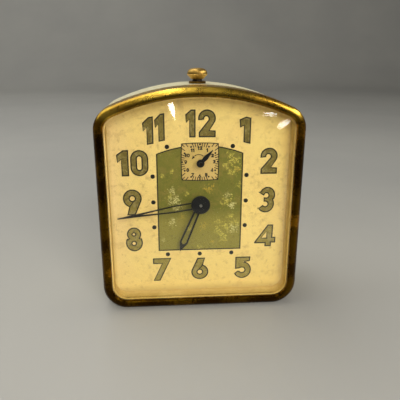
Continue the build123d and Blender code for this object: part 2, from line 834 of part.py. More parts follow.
def pointed_wheel(teeth, radius, tooth, lean, centre, near, far, hub):
    """An escape wheel with slim leaning teeth, spokes and a hub."""
    points = []
    for k in range(teeth):
        way = 360.0 * k / teeth
        points.append(polar(centre, radius - tooth, way))
        points.append(polar(centre, radius, way + lean))
        points.append(polar(centre, radius, way + lean + 2.5))
        points.append(polar(centre, radius - tooth, way + 0.5 * 360.0 / teeth))
    face = make_face(Polyline(*points, close=True))
    face -= windows(centre, hub + 0.5, radius - tooth - 1.0, 4, 1.1)
    wheel = slab(face, near, far) + rod(hub, near - 0.3, far + 0.3, centre)
    return wheel - rod(train_arbor_radius, near - 2, far + 2, centre)


def pallet_pins(pivot, wheel, circle, spread, near, far):
    """Two upright pins that stand either side of an escape wheel."""
    toward = math.degrees(math.atan2(pivot[1] - wheel[1], pivot[0] - wheel[0]))
    places = [polar(wheel, circle, toward + side * spread) for side in (-1, 1)]
    return places, [rod(lever_pin_radius, near, far, at) for at in places]


def make_pallet_lever():
    """The lever: two pin arms by the escape wheel and a long arm with a fork at the balance."""
    far = lever_depth + lever_thick
    places, pins = pallet_pins(lever_arbor, escape_arbor, lever_pin_circle, lever_pin_angle,
                               lever_depth, far + wheel_thick + 1.2)
    fork_end = lever_reach - impulse_radius - lever_pin_radius - contact_gap - 0.05
    tip = (lever_arbor[0] - fork_end, lever_arbor[1])
    face = make_face(Polyline(
        (lever_arbor[0], lever_arbor[1] - 1.3), (tip[0] + 2.2, tip[1] - 0.6), (tip[0], tip[1] - 1.2),
        (tip[0], tip[1] + 1.2), (tip[0] + 2.2, tip[1] + 0.6), (lever_arbor[0], lever_arbor[1] + 1.3),
        close=True))
    face += Pos(*lever_arbor) * Circle(1.9)
    for at in places:
        face += capsule(lever_arbor, at, 1.3)
    face -= Pos(tip[0] + 0.3, tip[1]) * Rectangle(2.0, 0.8)
    lever = slab(face, lever_depth, far)
    for pin in pins:
        lever += pin
    return lever - rod(train_arbor_radius, lever_depth - 1, far + 1, lever_arbor)


def make_lever_arbor():
    """The plain arbor that carries the pallet lever."""
    return pivoted_arbor(train_arbor_radius, lever_arbor)


def make_balance_wheel():
    """The balance: a heavy rim, two arms and a hub."""
    face = Pos(*balance_arbor) * Circle(balance_radius)
    face -= windows(balance_arbor, 2.2, balance_radius - balance_rim, 2, 1.8, 0.0)
    wheel = slab(face, balance_depth, balance_depth + 1.0)
    return wheel - rod(train_arbor_radius, balance_depth - 1, balance_depth + 2, balance_arbor)


def make_balance_staff():
    """The staff with the roller, its impulse pin and the hairspring's collet."""
    staff = rod(train_arbor_radius, front_plate_back + 0.3, back_plate_front - 0.3, balance_arbor)
    staff += rod(2.3, roller_depth, roller_depth + 0.6, balance_arbor)
    staff += rod(lever_pin_radius, lever_depth - 0.2, roller_depth + 0.3,
                 (balance_arbor[0] + impulse_radius, balance_arbor[1]))
    return staff + rod(1.4, hairspring_depth - 0.1, hairspring_depth + 1.1, balance_arbor)


def make_balance_screws():
    """The two cup screws that hold the balance staff; the rear one also carries the regulator."""
    cup = train_arbor_radius + running_fit
    front = rod(balance_screw_radius, front_plate_front - 0.9, front_plate_back + 1.2, balance_arbor)
    front += rod(2.4, front_plate_front - 0.9, front_plate_front, balance_arbor)
    front -= rod(cup, front_plate_back + 0.3 - end_shake, front_plate_back + 2, balance_arbor)
    rear = rod(balance_screw_radius, back_plate_front - 0.9, back_plate_back + 2.0, balance_arbor)
    rear += rod(2.4, back_plate_back + 1.1, back_plate_back + 2.0, balance_arbor)
    rear -= rod(cup, back_plate_front - 2, back_plate_front - 0.3 + end_shake, balance_arbor)
    return [front, rear]


def make_hairspring():
    """The hairspring, pinned in a stud under the back plate; its outer coil is true to the staff."""
    step = hairspring_pitch / 2
    inner = hairspring_radius - hairspring_strip / 2 - (hairspring_half_turns - 1) * step
    far = hairspring_depth + 1.0
    coil = spiral(balance_arbor, inner, hairspring_strip, hairspring_pitch, hairspring_half_turns,
                  hairspring_depth, far, 180.0)
    stud = rod(0.7, hairspring_depth, back_plate_front, polar(balance_arbor, hairspring_radius, 0.0))
    return coil + stud


def make_regulator():
    """The regulator: a ring on the rear cup screw, curb pins on the hairspring and a tail."""
    near = back_plate_back + 0.1
    far = near + 0.8
    face = Pos(*balance_arbor) * Circle(3.4)
    face += capsule(balance_arbor, polar(balance_arbor, hairspring_radius + 0.35, -90), 2.0)
    face += capsule(balance_arbor, polar(balance_arbor, regulator_reach, 90), 2.0)
    face -= Pos(*balance_arbor) * Circle(balance_screw_radius + running_fit)
    lever = slab(face, near, far)
    for shift in (-0.36, 0.36):
        at = polar(balance_arbor, hairspring_radius + shift, -90)
        lever += rod(0.2, hairspring_depth + 0.2, far, at)
    at = polar(balance_arbor, regulator_reach, 90)
    tail = Pos(at[0], at[1], -(near + cover_rear + 2.5) / 2) * Box(2.0, 0.9, cover_rear + 2.5 - near)
    return lever + tail


def make_cannon_pinion():
    """The cannon pinion and its pipe, a friction fit on the minute arbor."""
    leaves = motion_wheel(cannon_teeth, cannon_module, 0.0, hand_arbor)
    pinion = slab(leaves, front_plate_front - 2.6, front_plate_front - 0.5)
    pinion += rod(cannon_outer(), -minute_hand_height - hand_thick, front_plate_front - 0.3)
    return pinion - rod(minute_arbor_radius, -10, front_plate_front + 1)


def make_minute_wheel():
    """The minute wheel and its pinion, free on a stud."""
    phase = meshed_phase(cannon_teeth, 0.0, hand_arbor, minute_wheel_teeth, minute_wheel_arbor)
    wheel = motion_wheel(minute_wheel_teeth, cannon_module, phase, minute_wheel_arbor)
    wheel = slab(wheel, minute_wheel_depth, minute_wheel_depth + 1.0)
    leaves = motion_wheel(minute_pinion_teeth, hour_module, 0.0, minute_wheel_arbor)
    wheel += slab(leaves, hour_wheel_depth - 0.6, minute_wheel_depth)
    return wheel - rod(alarm_arbor_radius + running_fit, 0, front_plate_front, minute_wheel_arbor)


def make_minute_stud():
    """The stud in the front plate on which the minute wheel turns."""
    stud = rod(alarm_arbor_radius, hour_wheel_depth - 1.2, front_plate_back, minute_wheel_arbor)
    stud += rod(1.6, hour_wheel_depth - 1.5, hour_wheel_depth - 1.0, minute_wheel_arbor)
    return stud + rod(1.6, front_plate_front - 0.9, front_plate_front, minute_wheel_arbor)


def hour_phase():
    """The hour wheel's turn, from the minute pinion that drives it."""
    return meshed_phase(minute_pinion_teeth, 0.0, minute_wheel_arbor, hour_teeth, hand_arbor)


def make_hour_wheel():
    """The hour wheel with its pipe through the dial."""
    wheel = slab(motion_wheel(hour_teeth, hour_module, hour_phase(), hand_arbor),
                 hour_wheel_depth, hour_wheel_depth + wheel_thick)
    wheel += rod(hour_pipe_outer(), -hour_hand_height - hand_thick, front_plate_front - 2.8)
    return wheel - rod(cannon_outer() + running_fit, -10, front_plate_front)


def make_alarm_wheel():
    """The alarm wheel, free on the alarm setting arbor, with a notched cam on its hub."""
    phase = meshed_phase(hour_teeth, hour_phase(), hand_arbor, alarm_wheel_teeth, alarm_arbor)
    wheel = slab(motion_wheel(alarm_wheel_teeth, hour_module, phase, alarm_arbor),
                 hour_wheel_depth, hour_wheel_depth + wheel_thick)
    wheel += rod(3.0, hour_wheel_depth - 0.8, front_plate_front - 1.6, alarm_arbor)
    wheel -= rod(alarm_arbor_radius + running_fit, 0, front_plate_front, alarm_arbor)
    notch = Pos(alarm_arbor[0] + 2.6, alarm_arbor[1], -hour_wheel_depth + 0.8) * Box(1.6, 1.4, 1.0)
    return wheel - notch


def make_release_spring():
    """The leaf spring that lifts the alarm wheel, riveted to the front plate."""
    anchor = (13.5, alarm_height + 5.0)
    far = front_plate_front - 1.1
    face = capsule(alarm_arbor, anchor, 3.0) + Pos(*alarm_arbor) * Circle(2.6)
    face -= Pos(*alarm_arbor) * Circle(alarm_arbor_radius + 0.3)
    return slab(face, far - 0.4, far) + rod(1.5, far, front_plate_front, anchor)


def make_alarm_set_arbor():
    """The alarm setting arbor with the cam pin that rests on the alarm wheel's hub."""
    arbor = rod(alarm_arbor_radius, -alarm_hand_height - hand_thick - 0.9, set_arbor_end(), alarm_arbor)
    return arbor + rod(1.5, back_plate_front - 0.9, back_plate_front - end_shake, alarm_arbor)


def hand_pose(centre, clockwise, height):
    """Where a hand drawn along +y from its hub goes."""
    return Pos(centre[0], centre[1], height) * Rot(Z=-clockwise)


def mirrored_face(profile):
    """A face that is symmetrical about the line x = 0, from the points of its left half."""
    return make_face(Polyline(*profile, *[(-x, y) for x, y in reversed(profile)], close=True))


def make_minute_hand():
    """Two thin bars that close to a slim point, and a round hub."""
    length, half, bar = minute_hand_length, minute_hand_half_width, minute_hand_bar
    outer = mirrored_face([(-half, 2.0), (-half, 0.33 * length), (-0.7 * half, 0.53 * length),
                           (-0.45 * half, 0.73 * length), (-0.24 * half, 0.9 * length),
                           (-0.1 * half, length)])
    slit = mirrored_face([(bar - half, 2.0), (bar - half, 0.33 * length),
                          (bar - 0.7 * half, 0.53 * length), (-0.05, 0.715 * length)])
    face = outer - slit + Circle(hub_cap_radius - 1.0) - Circle(cannon_outer())
    return hand_pose(hand_arbor, minute_hand_angle, minute_hand_height) * extrude(face, hand_thick)


def make_hour_hand():
    """An open lozenge on two bars with a short solid point."""
    length, half, bar = hour_hand_length, hour_hand_half_width, hour_hand_bar
    wide = 0.82 * length
    outer = mirrored_face([(-0.72 * half, 2.0), (-half, wide), (-0.06 * half, length)])
    slit = mirrored_face([(bar - 0.72 * half, 2.0), (bar - half, wide - 0.3), (-0.2 * half, wide + bar)])
    face = outer - slit + Circle(hub_cap_radius - 1.2) - Circle(hour_pipe_outer())
    return hand_pose(hand_arbor, hour_hand_angle, hour_hand_height) * extrude(face, hand_thick)


def make_alarm_hand():
    """A leaf with a narrow waist at its hub and a fine needle at its end."""
    length, half = alarm_hand_length, alarm_hand_half_width
    leaf = mirrored_face([(-0.6 * half, 0.8 * alarm_hub_radius), (-0.62 * half, 0.18 * length),
                          (-half, 0.28 * length), (-0.86 * half, 0.48 * length),
                          (-0.38 * half, 0.66 * length), (-0.16 * half, 0.77 * length),
                          (-0.08 * half, length)])
    face = leaf + Circle(alarm_hub_radius) - Circle(alarm_arbor_radius)
    return hand_pose(alarm_arbor, alarm_hand_angle, alarm_hand_height) * extrude(face, hand_thick)


def make_hub_cap():
    """The black disc over the minute hand's hub."""
    low = minute_hand_height + hand_thick
    cap = rod(hub_cap_radius, -low - hub_cap_thick, -low)
    cap = chamfer(cap.faces().sort_by(Axis.Z)[-1].edges(), hub_cap_bevel)
    return cap - rod(minute_arbor_radius, -low - 2, -low + 1)


def make_alarm_escape_wheel():
    """The alarm escape wheel with its lantern pinion and arbor."""
    phase = meshed_phase(alarm_great_teeth, 0.0, alarm_spring, alarm_pinion_teeth, alarm_escape_arbor)
    near = alarm_escape_depth
    wheel = pointed_wheel(alarm_escape_teeth, alarm_escape_radius, 1.7, 6.0, alarm_escape_arbor,
                          near, near + wheel_thick, 1.8)
    pinion = lantern(alarm_pinion_teeth, alarm_module, phase, train_arbor_radius,
                     alarm_great_depth - 1.0, alarm_great_depth + great_thick + 0.9, 0.5,
                     alarm_escape_arbor)
    return wheel + pinion + pivoted_arbor(train_arbor_radius, alarm_escape_arbor)


def make_hammer_verge():
    """The verge arbor with its two pins, the stop wire and the hammer's arm."""
    near = alarm_escape_depth - 1.5
    places, pins = pallet_pins(verge_arbor, alarm_escape_arbor, verge_pin_circle, verge_pin_angle,
                               near, alarm_escape_depth + wheel_thick + 0.3)
    face = Pos(*verge_arbor) * Circle(1.9)
    for at in places:
        face += capsule(verge_arbor, at, 1.4)
    verge = slab(face, near, near + 0.8)
    for pin in pins:
        verge += pin
    tail_far = plunger_depth + 0.6
    verge += slab(capsule(verge_arbor, verge_tail_end(), 1.2), plunger_depth - 0.6, tail_far)
    rear = hammer_depth + hammer_arm / 2
    verge += rod(train_arbor_radius, front_plate_back + end_shake, rear, verge_arbor)
    verge += rod(pivot_radius, front_plate_front, front_plate_back + 1, verge_arbor)
    top = (verge_arbor[0], verge_arbor[1] + hammer_length - hammer_head_radius)
    return verge + slab(capsule(verge_arbor, top, hammer_arm), hammer_depth - hammer_arm / 2,
                        hammer_depth + hammer_arm / 2)


def make_hammer_head():
    """The brass hammer head, a short bar across the end of its arm."""
    head = Rot(Y=90) * Cylinder(hammer_head_radius, hammer_head_length)
    head = chamfer(head.edges(), hammer_head_radius / 6)
    head = Pos(verge_arbor[0], verge_arbor[1] + hammer_length, -hammer_depth) * head
    arm = (verge_arbor[0], verge_arbor[1] + hammer_length - hammer_head_radius)
    return head - slab(capsule(verge_arbor, arm, hammer_arm), hammer_depth - hammer_arm / 2,
                       hammer_depth + hammer_arm / 2)


def make_sounding_post():
    """The post on the cover that the hammer strikes, so that cover and case ring."""
    reach = hammer_length * math.sin(math.radians(hammer_swing)) + hammer_head_length / 2
    at = (verge_arbor[0] - reach - contact_gap - post_radius, verge_arbor[1] + hammer_length)
    return rod(post_radius, back_plate_back + post_gap, cover_inside, at)


pieces = {
    "case_shell": make_case_shell(),
    "bezel": make_bezel(),
    "crystal": make_crystal(),
    "spacer_ring": make_spacer_ring(),
    "dial": make_dial(),
    "back_cover": make_back_cover(),
    "back_cover_screws": make_cover_screws(),
    "rear_feet": make_rear_feet(),
    "front_plate": make_front_plate(),
    "back_plate": make_back_plate(),
    "pillars": make_pillars(),
    "cover_standoffs": make_standoffs(),
    "plunger_collar": make_collar(),
    "stop_plunger": make_stop_plunger(),
    "stop_knob": make_stop_knob(),
    "time_mainspring": make_mainspring(time_spring, (pillar_x, pillar_low_y), 1),
    "time_great_wheel": make_great_wheel(time_spring, great_teeth, great_module, great_depth),
    "time_ratchet": make_ratchet(time_spring, ratchet_depth),
    "time_click": make_click(time_spring, ratchet_depth),
    "time_winding_arbor": make_winding_arbor(time_spring),
    "time_key": make_key(time_spring, key_turn),
    "centre_wheel": spoked_wheel(centre_teeth, centre_module, hand_arbor, centre_wheel_depth,
                                 centre_hub_radius, 3.4, 1.6),
    "centre_pinion": make_centre_pinion(),
    "clutch_spring": make_clutch_spring(),
    "third_wheel": spoked_wheel(third_teeth, third_module, third_arbor, third_wheel_depth,
                                train_arbor_radius, 2.0, 1.3),
    "third_arbor": make_third_arbor(),
    "fourth_wheel": spoked_wheel(fourth_teeth, fourth_module, fourth_arbor, fourth_wheel_depth,
                                 train_arbor_radius, 2.0, 1.3),
    "fourth_arbor": make_fourth_arbor(),
    "escape_wheel": pointed_wheel(escape_teeth, escape_radius, 1.9, 5.0, escape_arbor,
                                  escape_wheel_depth, escape_wheel_depth + wheel_thick, 1.6),
    "escape_arbor": make_escape_arbor(),
    "pallet_lever": make_pallet_lever(),
    "lever_arbor": make_lever_arbor(),
    "balance_wheel": make_balance_wheel(),
    "balance_staff": make_balance_staff(),
    "balance_screws": make_balance_screws(),
    "hairspring": make_hairspring(),
    "regulator_lever": make_regulator(),
    "minute_arbor": make_minute_arbor(),
    "cannon_pinion": make_cannon_pinion(),
    "minute_hand": make_minute_hand(),
    "hub_cap": make_hub_cap(),
    "minute_set_knob": make_set_knob(hand_arbor, minute_arbor_radius),
    "minute_wheel": make_minute_wheel(),
    "minute_wheel_stud": make_minute_stud(),
    "hour_wheel": make_hour_wheel(),
    "hour_hand": make_hour_hand(),
    "alarm_wheel": make_alarm_wheel(),
    "alarm_release_spring": make_release_spring(),
    "alarm_set_arbor": make_alarm_set_arbor(),
    "alarm_hand": make_alarm_hand(),
    "alarm_set_knob": make_set_knob(alarm_arbor, alarm_arbor_radius),
    "alarm_mainspring": make_mainspring(alarm_spring, (-pillar_x, pillar_low_y), -1),
    "alarm_great_wheel": make_great_wheel(alarm_spring, alarm_great_teeth, alarm_module,
                                          alarm_great_depth),
    "alarm_click": make_click(alarm_spring, alarm_great_depth + great_thick),
    "alarm_winding_arbor": make_winding_arbor(alarm_spring)
    + make_ratchet(alarm_spring, alarm_great_depth + great_thick),
    "alarm_key": make_key(alarm_spring, alarm_key_turn),
    "alarm_escape_wheel": make_alarm_escape_wheel(),
    "hammer_verge": make_hammer_verge(),
    "hammer_head": make_hammer_head(),
    "sounding_post": make_sounding_post(),
}

# The origin is the middle of the clock's box, on the surface that it stands on.
upright = Pos(0, (glass_top - back_reach) / 2, -bezel_bottom) * Rot(X=90)

os.makedirs("parts", exist_ok=True)
for name, shape in pieces.items():
    solids = shape if isinstance(shape, list) else shape.solids()
    placed = [upright * solid for solid in solids]
    export_step(Compound(placed) if len(placed) > 1 else placed[0], f"parts/{name}.step")
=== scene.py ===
import json
import math

import bmesh
import bpy
from mathutils import Matrix, Vector
from mathutils.geometry import tessellate_polygon


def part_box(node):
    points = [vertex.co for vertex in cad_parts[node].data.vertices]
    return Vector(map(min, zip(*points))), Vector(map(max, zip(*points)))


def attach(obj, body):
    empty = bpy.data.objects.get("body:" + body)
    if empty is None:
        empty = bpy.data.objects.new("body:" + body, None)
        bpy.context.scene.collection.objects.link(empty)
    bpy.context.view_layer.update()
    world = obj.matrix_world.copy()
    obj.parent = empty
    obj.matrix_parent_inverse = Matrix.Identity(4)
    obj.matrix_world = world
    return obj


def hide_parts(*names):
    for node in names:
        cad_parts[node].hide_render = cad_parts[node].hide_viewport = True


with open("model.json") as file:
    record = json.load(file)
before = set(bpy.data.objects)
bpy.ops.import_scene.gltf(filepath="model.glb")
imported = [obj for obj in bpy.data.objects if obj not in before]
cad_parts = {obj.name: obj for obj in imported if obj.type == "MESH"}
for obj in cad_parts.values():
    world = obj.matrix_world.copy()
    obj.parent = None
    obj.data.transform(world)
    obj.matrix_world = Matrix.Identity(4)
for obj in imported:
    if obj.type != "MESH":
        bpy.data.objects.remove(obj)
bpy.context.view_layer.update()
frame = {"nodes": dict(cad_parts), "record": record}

MM = 0.001

# The dial's face and the hands' arbor, taken from the clock itself
face_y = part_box("dial")[0][1]
hub_low, hub_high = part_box("hub_cap")
arbor_x = (hub_low[0] + hub_high[0]) / 2
arbor_z = (hub_low[2] + hub_high[2]) / 2
arbor_up = arbor_z / MM

# The glass, in millimetres about the hands' arbor, heights above the dial
glass_half_width = 51.2
glass_top_edge = 58.65
glass_low_edge = -56.6
glass_arch = 106.0
glass_top_corner = 11.8
glass_low_corner = 12.6
glass_flange = 0.5
glass_dome_inset = 4.9
glass_hollow_inset = 6.0
glass_thick = 1.2
glass_lip = 7.55
glass_rise = 4.99
glass_fullness = 8.0
dome_rings = 24
dome_turn = 88.0
middle_rings = (0.3, 0.15)
corner_steps = 14
arch_steps = 48
side_steps = 24

# The layers of ink above the dial's face, in millimetres
panel_layer = (0.0, 0.02)
panel_edge_layer = (0.0, 0.03)
small_dial_layer = (0.0, 0.045)
small_edge_layer = (0.0, 0.055)
ink_layer = (0.0, 0.07)
numeral_edge_layer = (0.0, 0.05)
numeral_layer = (0.0, 0.09)
overlap_layer = (0.0, 0.105)

# The green panel and the small alarm dial
panel_half_width = 22.0
panel_low = -27.4
panel_shoulder = 25.4
panel_crown = 29.6
panel_line = 0.62
alarm_up = 21.0
small_half_width = 9.7
small_half_height = 9.9
small_corner = (9.35, 9.5)
small_line = 0.45
small_side_steps = 8

# The print's dots
hour_dot = 1.15
hour_dots = (
    (24.0, 0.0), (-24.0, 0.0), (23.95, 13.75), (-23.95, 13.75), (23.9, -13.8), (-23.9, -13.8),
    (16.5, 28.9), (-16.5, 28.9), (17.1, -29.5), (-17.1, -29.5), (0.0, -29.6),
)
alarm_dot = 0.5
alarm_dot_circle = 8.95
alarm_dot_gap = 0.2

# The alarm dial's quarter-hour lines: count, width, length and least distance from the middle
alarm_quarters = 48
alarm_tick_width = 0.42
alarm_tick_length = 2.3
alarm_tick_inner = 7.9

# Its arrow: the tail's arc about a centre, and the line's width
arrow_centre = (-0.6, alarm_up + 0.2)
arrow_radius = 3.6
arrow_width = 0.36

# The table and backdrop, in metres
TABLE_HALF_WIDTH = 1.6
TABLE_FRONT = -0.19
TABLE_BACK = 1.3
BACKDROP_BEND = 0.5
BACKDROP_TOP = 2.6


def srgb(red, green, blue):
    """A colour as seen on a screen, as the linear colour that the shaders take."""
    def linear(part):
        return part / 12.92 if part <= 0.04045 else ((part + 0.055) / 1.055) ** 2.4
    return (linear(red), linear(green), linear(blue), 1.0)


def on_dial(x, up, height):
    """The place of a point of the dial, from millimetres about the hands' arbor."""
    return Vector((arbor_x + x * MM, face_y - height * MM, arbor_z + up * MM))


# Shaders

COORDINATES = "Object"
MIX_FACTOR, MIX_A, MIX_B, MIX_OUT = 0, 6, 7, 2


class Tree:
    """A node tree with short ways to add and join nodes."""

    def __init__(self, tree):
        self.tree = tree

    def add(self, kind, **settings):
        node = self.tree.nodes.new(kind)
        for key, value in settings.items():
            setattr(node, key, value)
        return node

    def feed(self, socket, value):
        """Joins an output to a socket, or sets the socket to a constant."""
        if isinstance(value, bpy.types.NodeSocket):
            self.tree.links.new(value, socket)
        else:
            socket.default_value = value

    def math(self, operation, first, second=0.0, clamp=False):
        node = self.add("ShaderNodeMath", operation=operation, use_clamp=clamp)
        self.feed(node.inputs[0], first)
        self.feed(node.inputs[1], second)
        return node.outputs[0]

    def remap(self, value, low, high, to_low=0.0, to_high=1.0, smooth=False):
        node = self.add("ShaderNodeMapRange")
        if smooth:
            node.interpolation_type = "SMOOTHSTEP"
        keys = ("Value", "From Min", "From Max", "To Min", "To Max")
        for key, part in zip(keys, (value, low, high, to_low, to_high)):
            self.feed(node.inputs[key], part)
        return node.outputs["Result"]

    def mix(self, factor, first, second):
        node = self.add("ShaderNodeMix", data_type="RGBA")
        for key, value in ((MIX_FACTOR, factor), (MIX_A, first), (MIX_B, second)):
            self.feed(node.inputs[key], value)
        return node.outputs[MIX_OUT]

    def tint(self, colour, shade, mask, strength):
        """The colour with a shade over it where the mask is, at a part of its strength."""
        return self.mix(self.math("MULTIPLY", mask, strength), colour, shade)

    def millimetres(self, stretch=(1.0, 1.0, 1.0), turn=0.0):
        """The object's own place in millimetres, stretched along its axes and turned about Y."""
        mapping = self.add("ShaderNodeMapping")
        self.feed(mapping.inputs["Vector"], self.add("ShaderNodeTexCoord").outputs[COORDINATES])
        mapping.inputs["Scale"].default_value = [part / MM for part in stretch]
        mapping.inputs["Rotation"].default_value = (0.0, turn, 0.0)
        return mapping.outputs["Vector"]

    def axes(self):
        """The object's own place in millimetres, by axis."""
        split = self.add("ShaderNodeSeparateXYZ")
        self.feed(split.inputs[0], self.millimetres())
        return split.outputs

    def shifted(self, vector, seed):
        """The place moved by a seed, so that two uses of one effect differ."""
        shift = self.add("ShaderNodeVectorMath", operation="ADD")
        self.feed(shift.inputs[0], vector)
        self.feed(shift.inputs[1], seed)
        return shift.outputs[0]

    def noise(self, vector, size, detail=3.0, rough=0.55, distort=0.0):
        """Soft noise whose features are about that many millimetres across."""
        node = self.add("ShaderNodeTexNoise")
        self.feed(node.inputs["Vector"], vector)
        linked = isinstance(size, bpy.types.NodeSocket)
        self.feed(node.inputs["Scale"], self.math("DIVIDE", 1.0, size) if linked else 1.0 / size)
        node.inputs["Detail"].default_value = detail
        node.inputs["Roughness"].default_value = rough
        node.inputs["Distortion"].default_value = distort
        return node.outputs["Fac"]

    def group(self, tree, **values):
        """Places a shared effect and gives its inputs."""
        node = self.add("ShaderNodeGroup")
        node.node_tree = tree
        for key, value in values.items():
            self.feed(node.inputs[key], value)
        return node.outputs[0]

    def clouds(self, size, cover, soft, seed=0.0):
        """Soft cloudy patches from the shared effect."""
        return self.group(blotches, Size=size, Cover=cover, Soft=soft, Seed=seed)

    def flecks(self, size, cover, seed):
        """Small hard flecks from the shared effect."""
        return self.group(specks, Size=size, Cover=cover, Seed=seed)

    def spots(self, places):
        """Ragged patches at places of the dial's plane: across, up, radius, raggedness."""
        cover = 0.0
        for across, up, radius, ragged in places:
            patch = self.group(spot, Across=across, Up=up, Radius=radius, Ragged=ragged)
            cover = self.math("MAXIMUM", cover, patch)
        return cover

    def bump(self, height, strength, distance_mm):
        node = self.add("ShaderNodeBump")
        self.feed(node.inputs["Height"], height)
        node.inputs["Strength"].default_value = strength
        node.inputs["Distance"].default_value = distance_mm * MM
        return node.outputs["Normal"]


# How far the noise rises over the edge of a fleck and of a scratch
SPECK_EDGE = 0.06
SCRATCH_EDGE = 0.05

# The two directions of scratches: how the noise is stretched, and its turn in radians
SCRATCHES = (((0.06, 1.0, 1.0), 0.4), ((1.0, 0.8, 0.05), -0.25))


def effect(name, inputs):
    """A new shared effect with float inputs and one mask; returns its tree, inputs and end."""
    tree = bpy.data.node_groups.new(name, "ShaderNodeTree")
    for label, value in inputs:
        socket = tree.interface.new_socket(label, in_out="INPUT", socket_type="NodeSocketFloat")
        socket.default_value = value
    tree.interface.new_socket("Mask", in_out="OUTPUT", socket_type="NodeSocketFloat")
    inner = Tree(tree)
    start = inner.add("NodeGroupInput")
    end = inner.add("NodeGroupOutput")
    return inner, start.outputs, end.inputs["Mask"]


def make_blotches():
    """Soft cloudy patches: Size in millimetres, Cover from 0 to 1, Soft edge, Seed."""
    inner, given, mask = effect("blotches", (("Size", 8.0), ("Cover", 0.4), ("Soft", 0.15), ("Seed", 0.0)))
    value = inner.noise(inner.shifted(inner.millimetres(), given["Seed"]), given["Size"], 4.0, 0.6, 0.3)
    # The noise runs from about 0.3 to 0.7, so a cover of 0.5 is half of the surface
    middle = inner.remap(given["Cover"], 0.0, 1.0, 0.72, 0.28)
    low = inner.math("SUBTRACT", middle, given["Soft"])
    high = inner.math("ADD", middle, given["Soft"])
    inner.feed(mask, inner.remap(value, low, high, smooth=True))
    return inner.tree


def make_specks():
    """Small hard flecks: Size in millimetres, Cover from 0 to 1, Seed."""
    inner, given, mask = effect("specks", (("Size", 0.4), ("Cover", 0.2), ("Seed", 0.0)))
    value = inner.noise(inner.shifted(inner.millimetres(), given["Seed"]), given["Size"], 2.0, 0.7)
    middle = inner.remap(given["Cover"], 0.0, 1.0, 0.75, 0.3)
    inner.feed(mask, inner.remap(value, middle, inner.math("ADD", middle, SPECK_EDGE)))
    return inner.tree


def make_spot():
    """A ragged patch about one place of the dial's plane: Across and Up from the arbor, Radius, Ragged."""
    inner, given, mask = effect("spot", (("Across", 0.0), ("Up", 0.0), ("Radius", 3.0), ("Ragged", 0.5)))
    where = inner.axes()
    across = inner.math("SUBTRACT", where["X"], inner.math("ADD", given["Across"], arbor_x / MM))
    up = inner.math("SUBTRACT", where["Z"], inner.math("ADD", given["Up"], arbor_up))
    square = inner.math("ADD", inner.math("MULTIPLY", across, across), inner.math("MULTIPLY", up, up))
    away = inner.math("DIVIDE", inner.math("SQRT", square), given["Radius"])
    cloud = inner.remap(inner.noise(inner.millimetres(), 1.6, 4.0, 0.65), 0.3, 0.7, -1.0, 1.0)
    ragged = inner.math("ADD", away, inner.math("MULTIPLY", cloud, given["Ragged"]))
    inner.feed(mask, inner.remap(ragged, 1.0, 0.4, smooth=True))
    return inner.tree


def make_scuffs():
    """Fine scratches in two directions: Cover from 0 to 1, Seed."""
    inner, given, mask = effect("scuffs", (("Cover", 0.3), ("Seed", 0.0)))
    lines = [inner.noise(inner.shifted(inner.millimetres(stretch, turn), given["Seed"]), 0.5, 2.0, 0.5)
             for stretch, turn in SCRATCHES]
    both = inner.math("MAXIMUM", lines[0], lines[1])
    middle = inner.remap(given["Cover"], 0.0, 1.0, 0.82, 0.55)
    inner.feed(mask, inner.remap(both, middle, inner.math("ADD", middle, SCRATCH_EDGE)))
    return inner.tree


blotches = make_blotches()
specks = make_specks()
spot = make_spot()
scuffs = make_scuffs()


def new_surface(name):
    """A new material: its tree and the sockets of its shader."""
    material = bpy.data.materials.new(name)
    material.use_nodes = True
    tree = Tree(material.node_tree)
    return material, tree, material.node_tree.nodes["Principled BSDF"].inputs


def dress(tree, surface, colour, rough, metallic=0.0):
    """Gives a surface its colour, roughness and metal."""
    tree.feed(surface["Base Color"], colour)
    tree.feed(surface["Roughness"], rough)
    surface["Metallic"].default_value = metallic


def make_cream_enamel():
    """The case's cream paint: slightly green, yellowed in clouds, scuffed and grimy."""
    material, tree, surface = new_surface("cream_enamel")
    colour = tree.mix(tree.clouds(22.0, 0.5, 0.14), srgb(0.93, 0.90, 0.73), srgb(0.90, 0.86, 0.67))
    colour = tree.mix(tree.clouds(5.0, 0.3, 0.08, 11.0), colour, srgb(0.885, 0.85, 0.68))
    colour = tree.tint(colour, srgb(0.62, 0.58, 0.46), tree.group(scuffs, Cover=0.25, Seed=4.0), 0.5)
    colour = tree.mix(tree.flecks(0.9, 0.06, 2.0), colour, srgb(0.36, 0.28, 0.17))
    dress(tree, surface, colour, tree.remap(tree.clouds(3.0, 0.5, 0.2, 7.0), 0.0, 1.0, 0.34, 0.5))
    tree.feed(surface["Normal"], tree.bump(tree.noise(tree.millimetres(), 1.4), 0.12, 0.05))
    surface["Coat Weight"].default_value = 0.25
    surface["Coat Roughness"].default_value = 0.2
    return material


def arched_height(tree, where):
    """The height of a place, counted so that the clock's arch is level, in millimetres."""
    square = tree.math("MULTIPLY", where["X"], where["X"])
    return tree.math("ADD", where["Z"], tree.math("DIVIDE", square, 2 * glass_arch))


# The bezel turns from brown to gold between these heights over the arbor: a painted reflection, gold where
# the arch would mirror the ceiling light, dark brown below
BEZEL_LIT_CROWN = (42.0, 45.5)

# The painted shade along the inner half of its arch, and where that fades out towards the left
BEZEL_PAINTED_ARCH_SHADE = (57.2, 54.4)
BEZEL_SHADE_FADES_LEFT = (-42.0, -33.0)
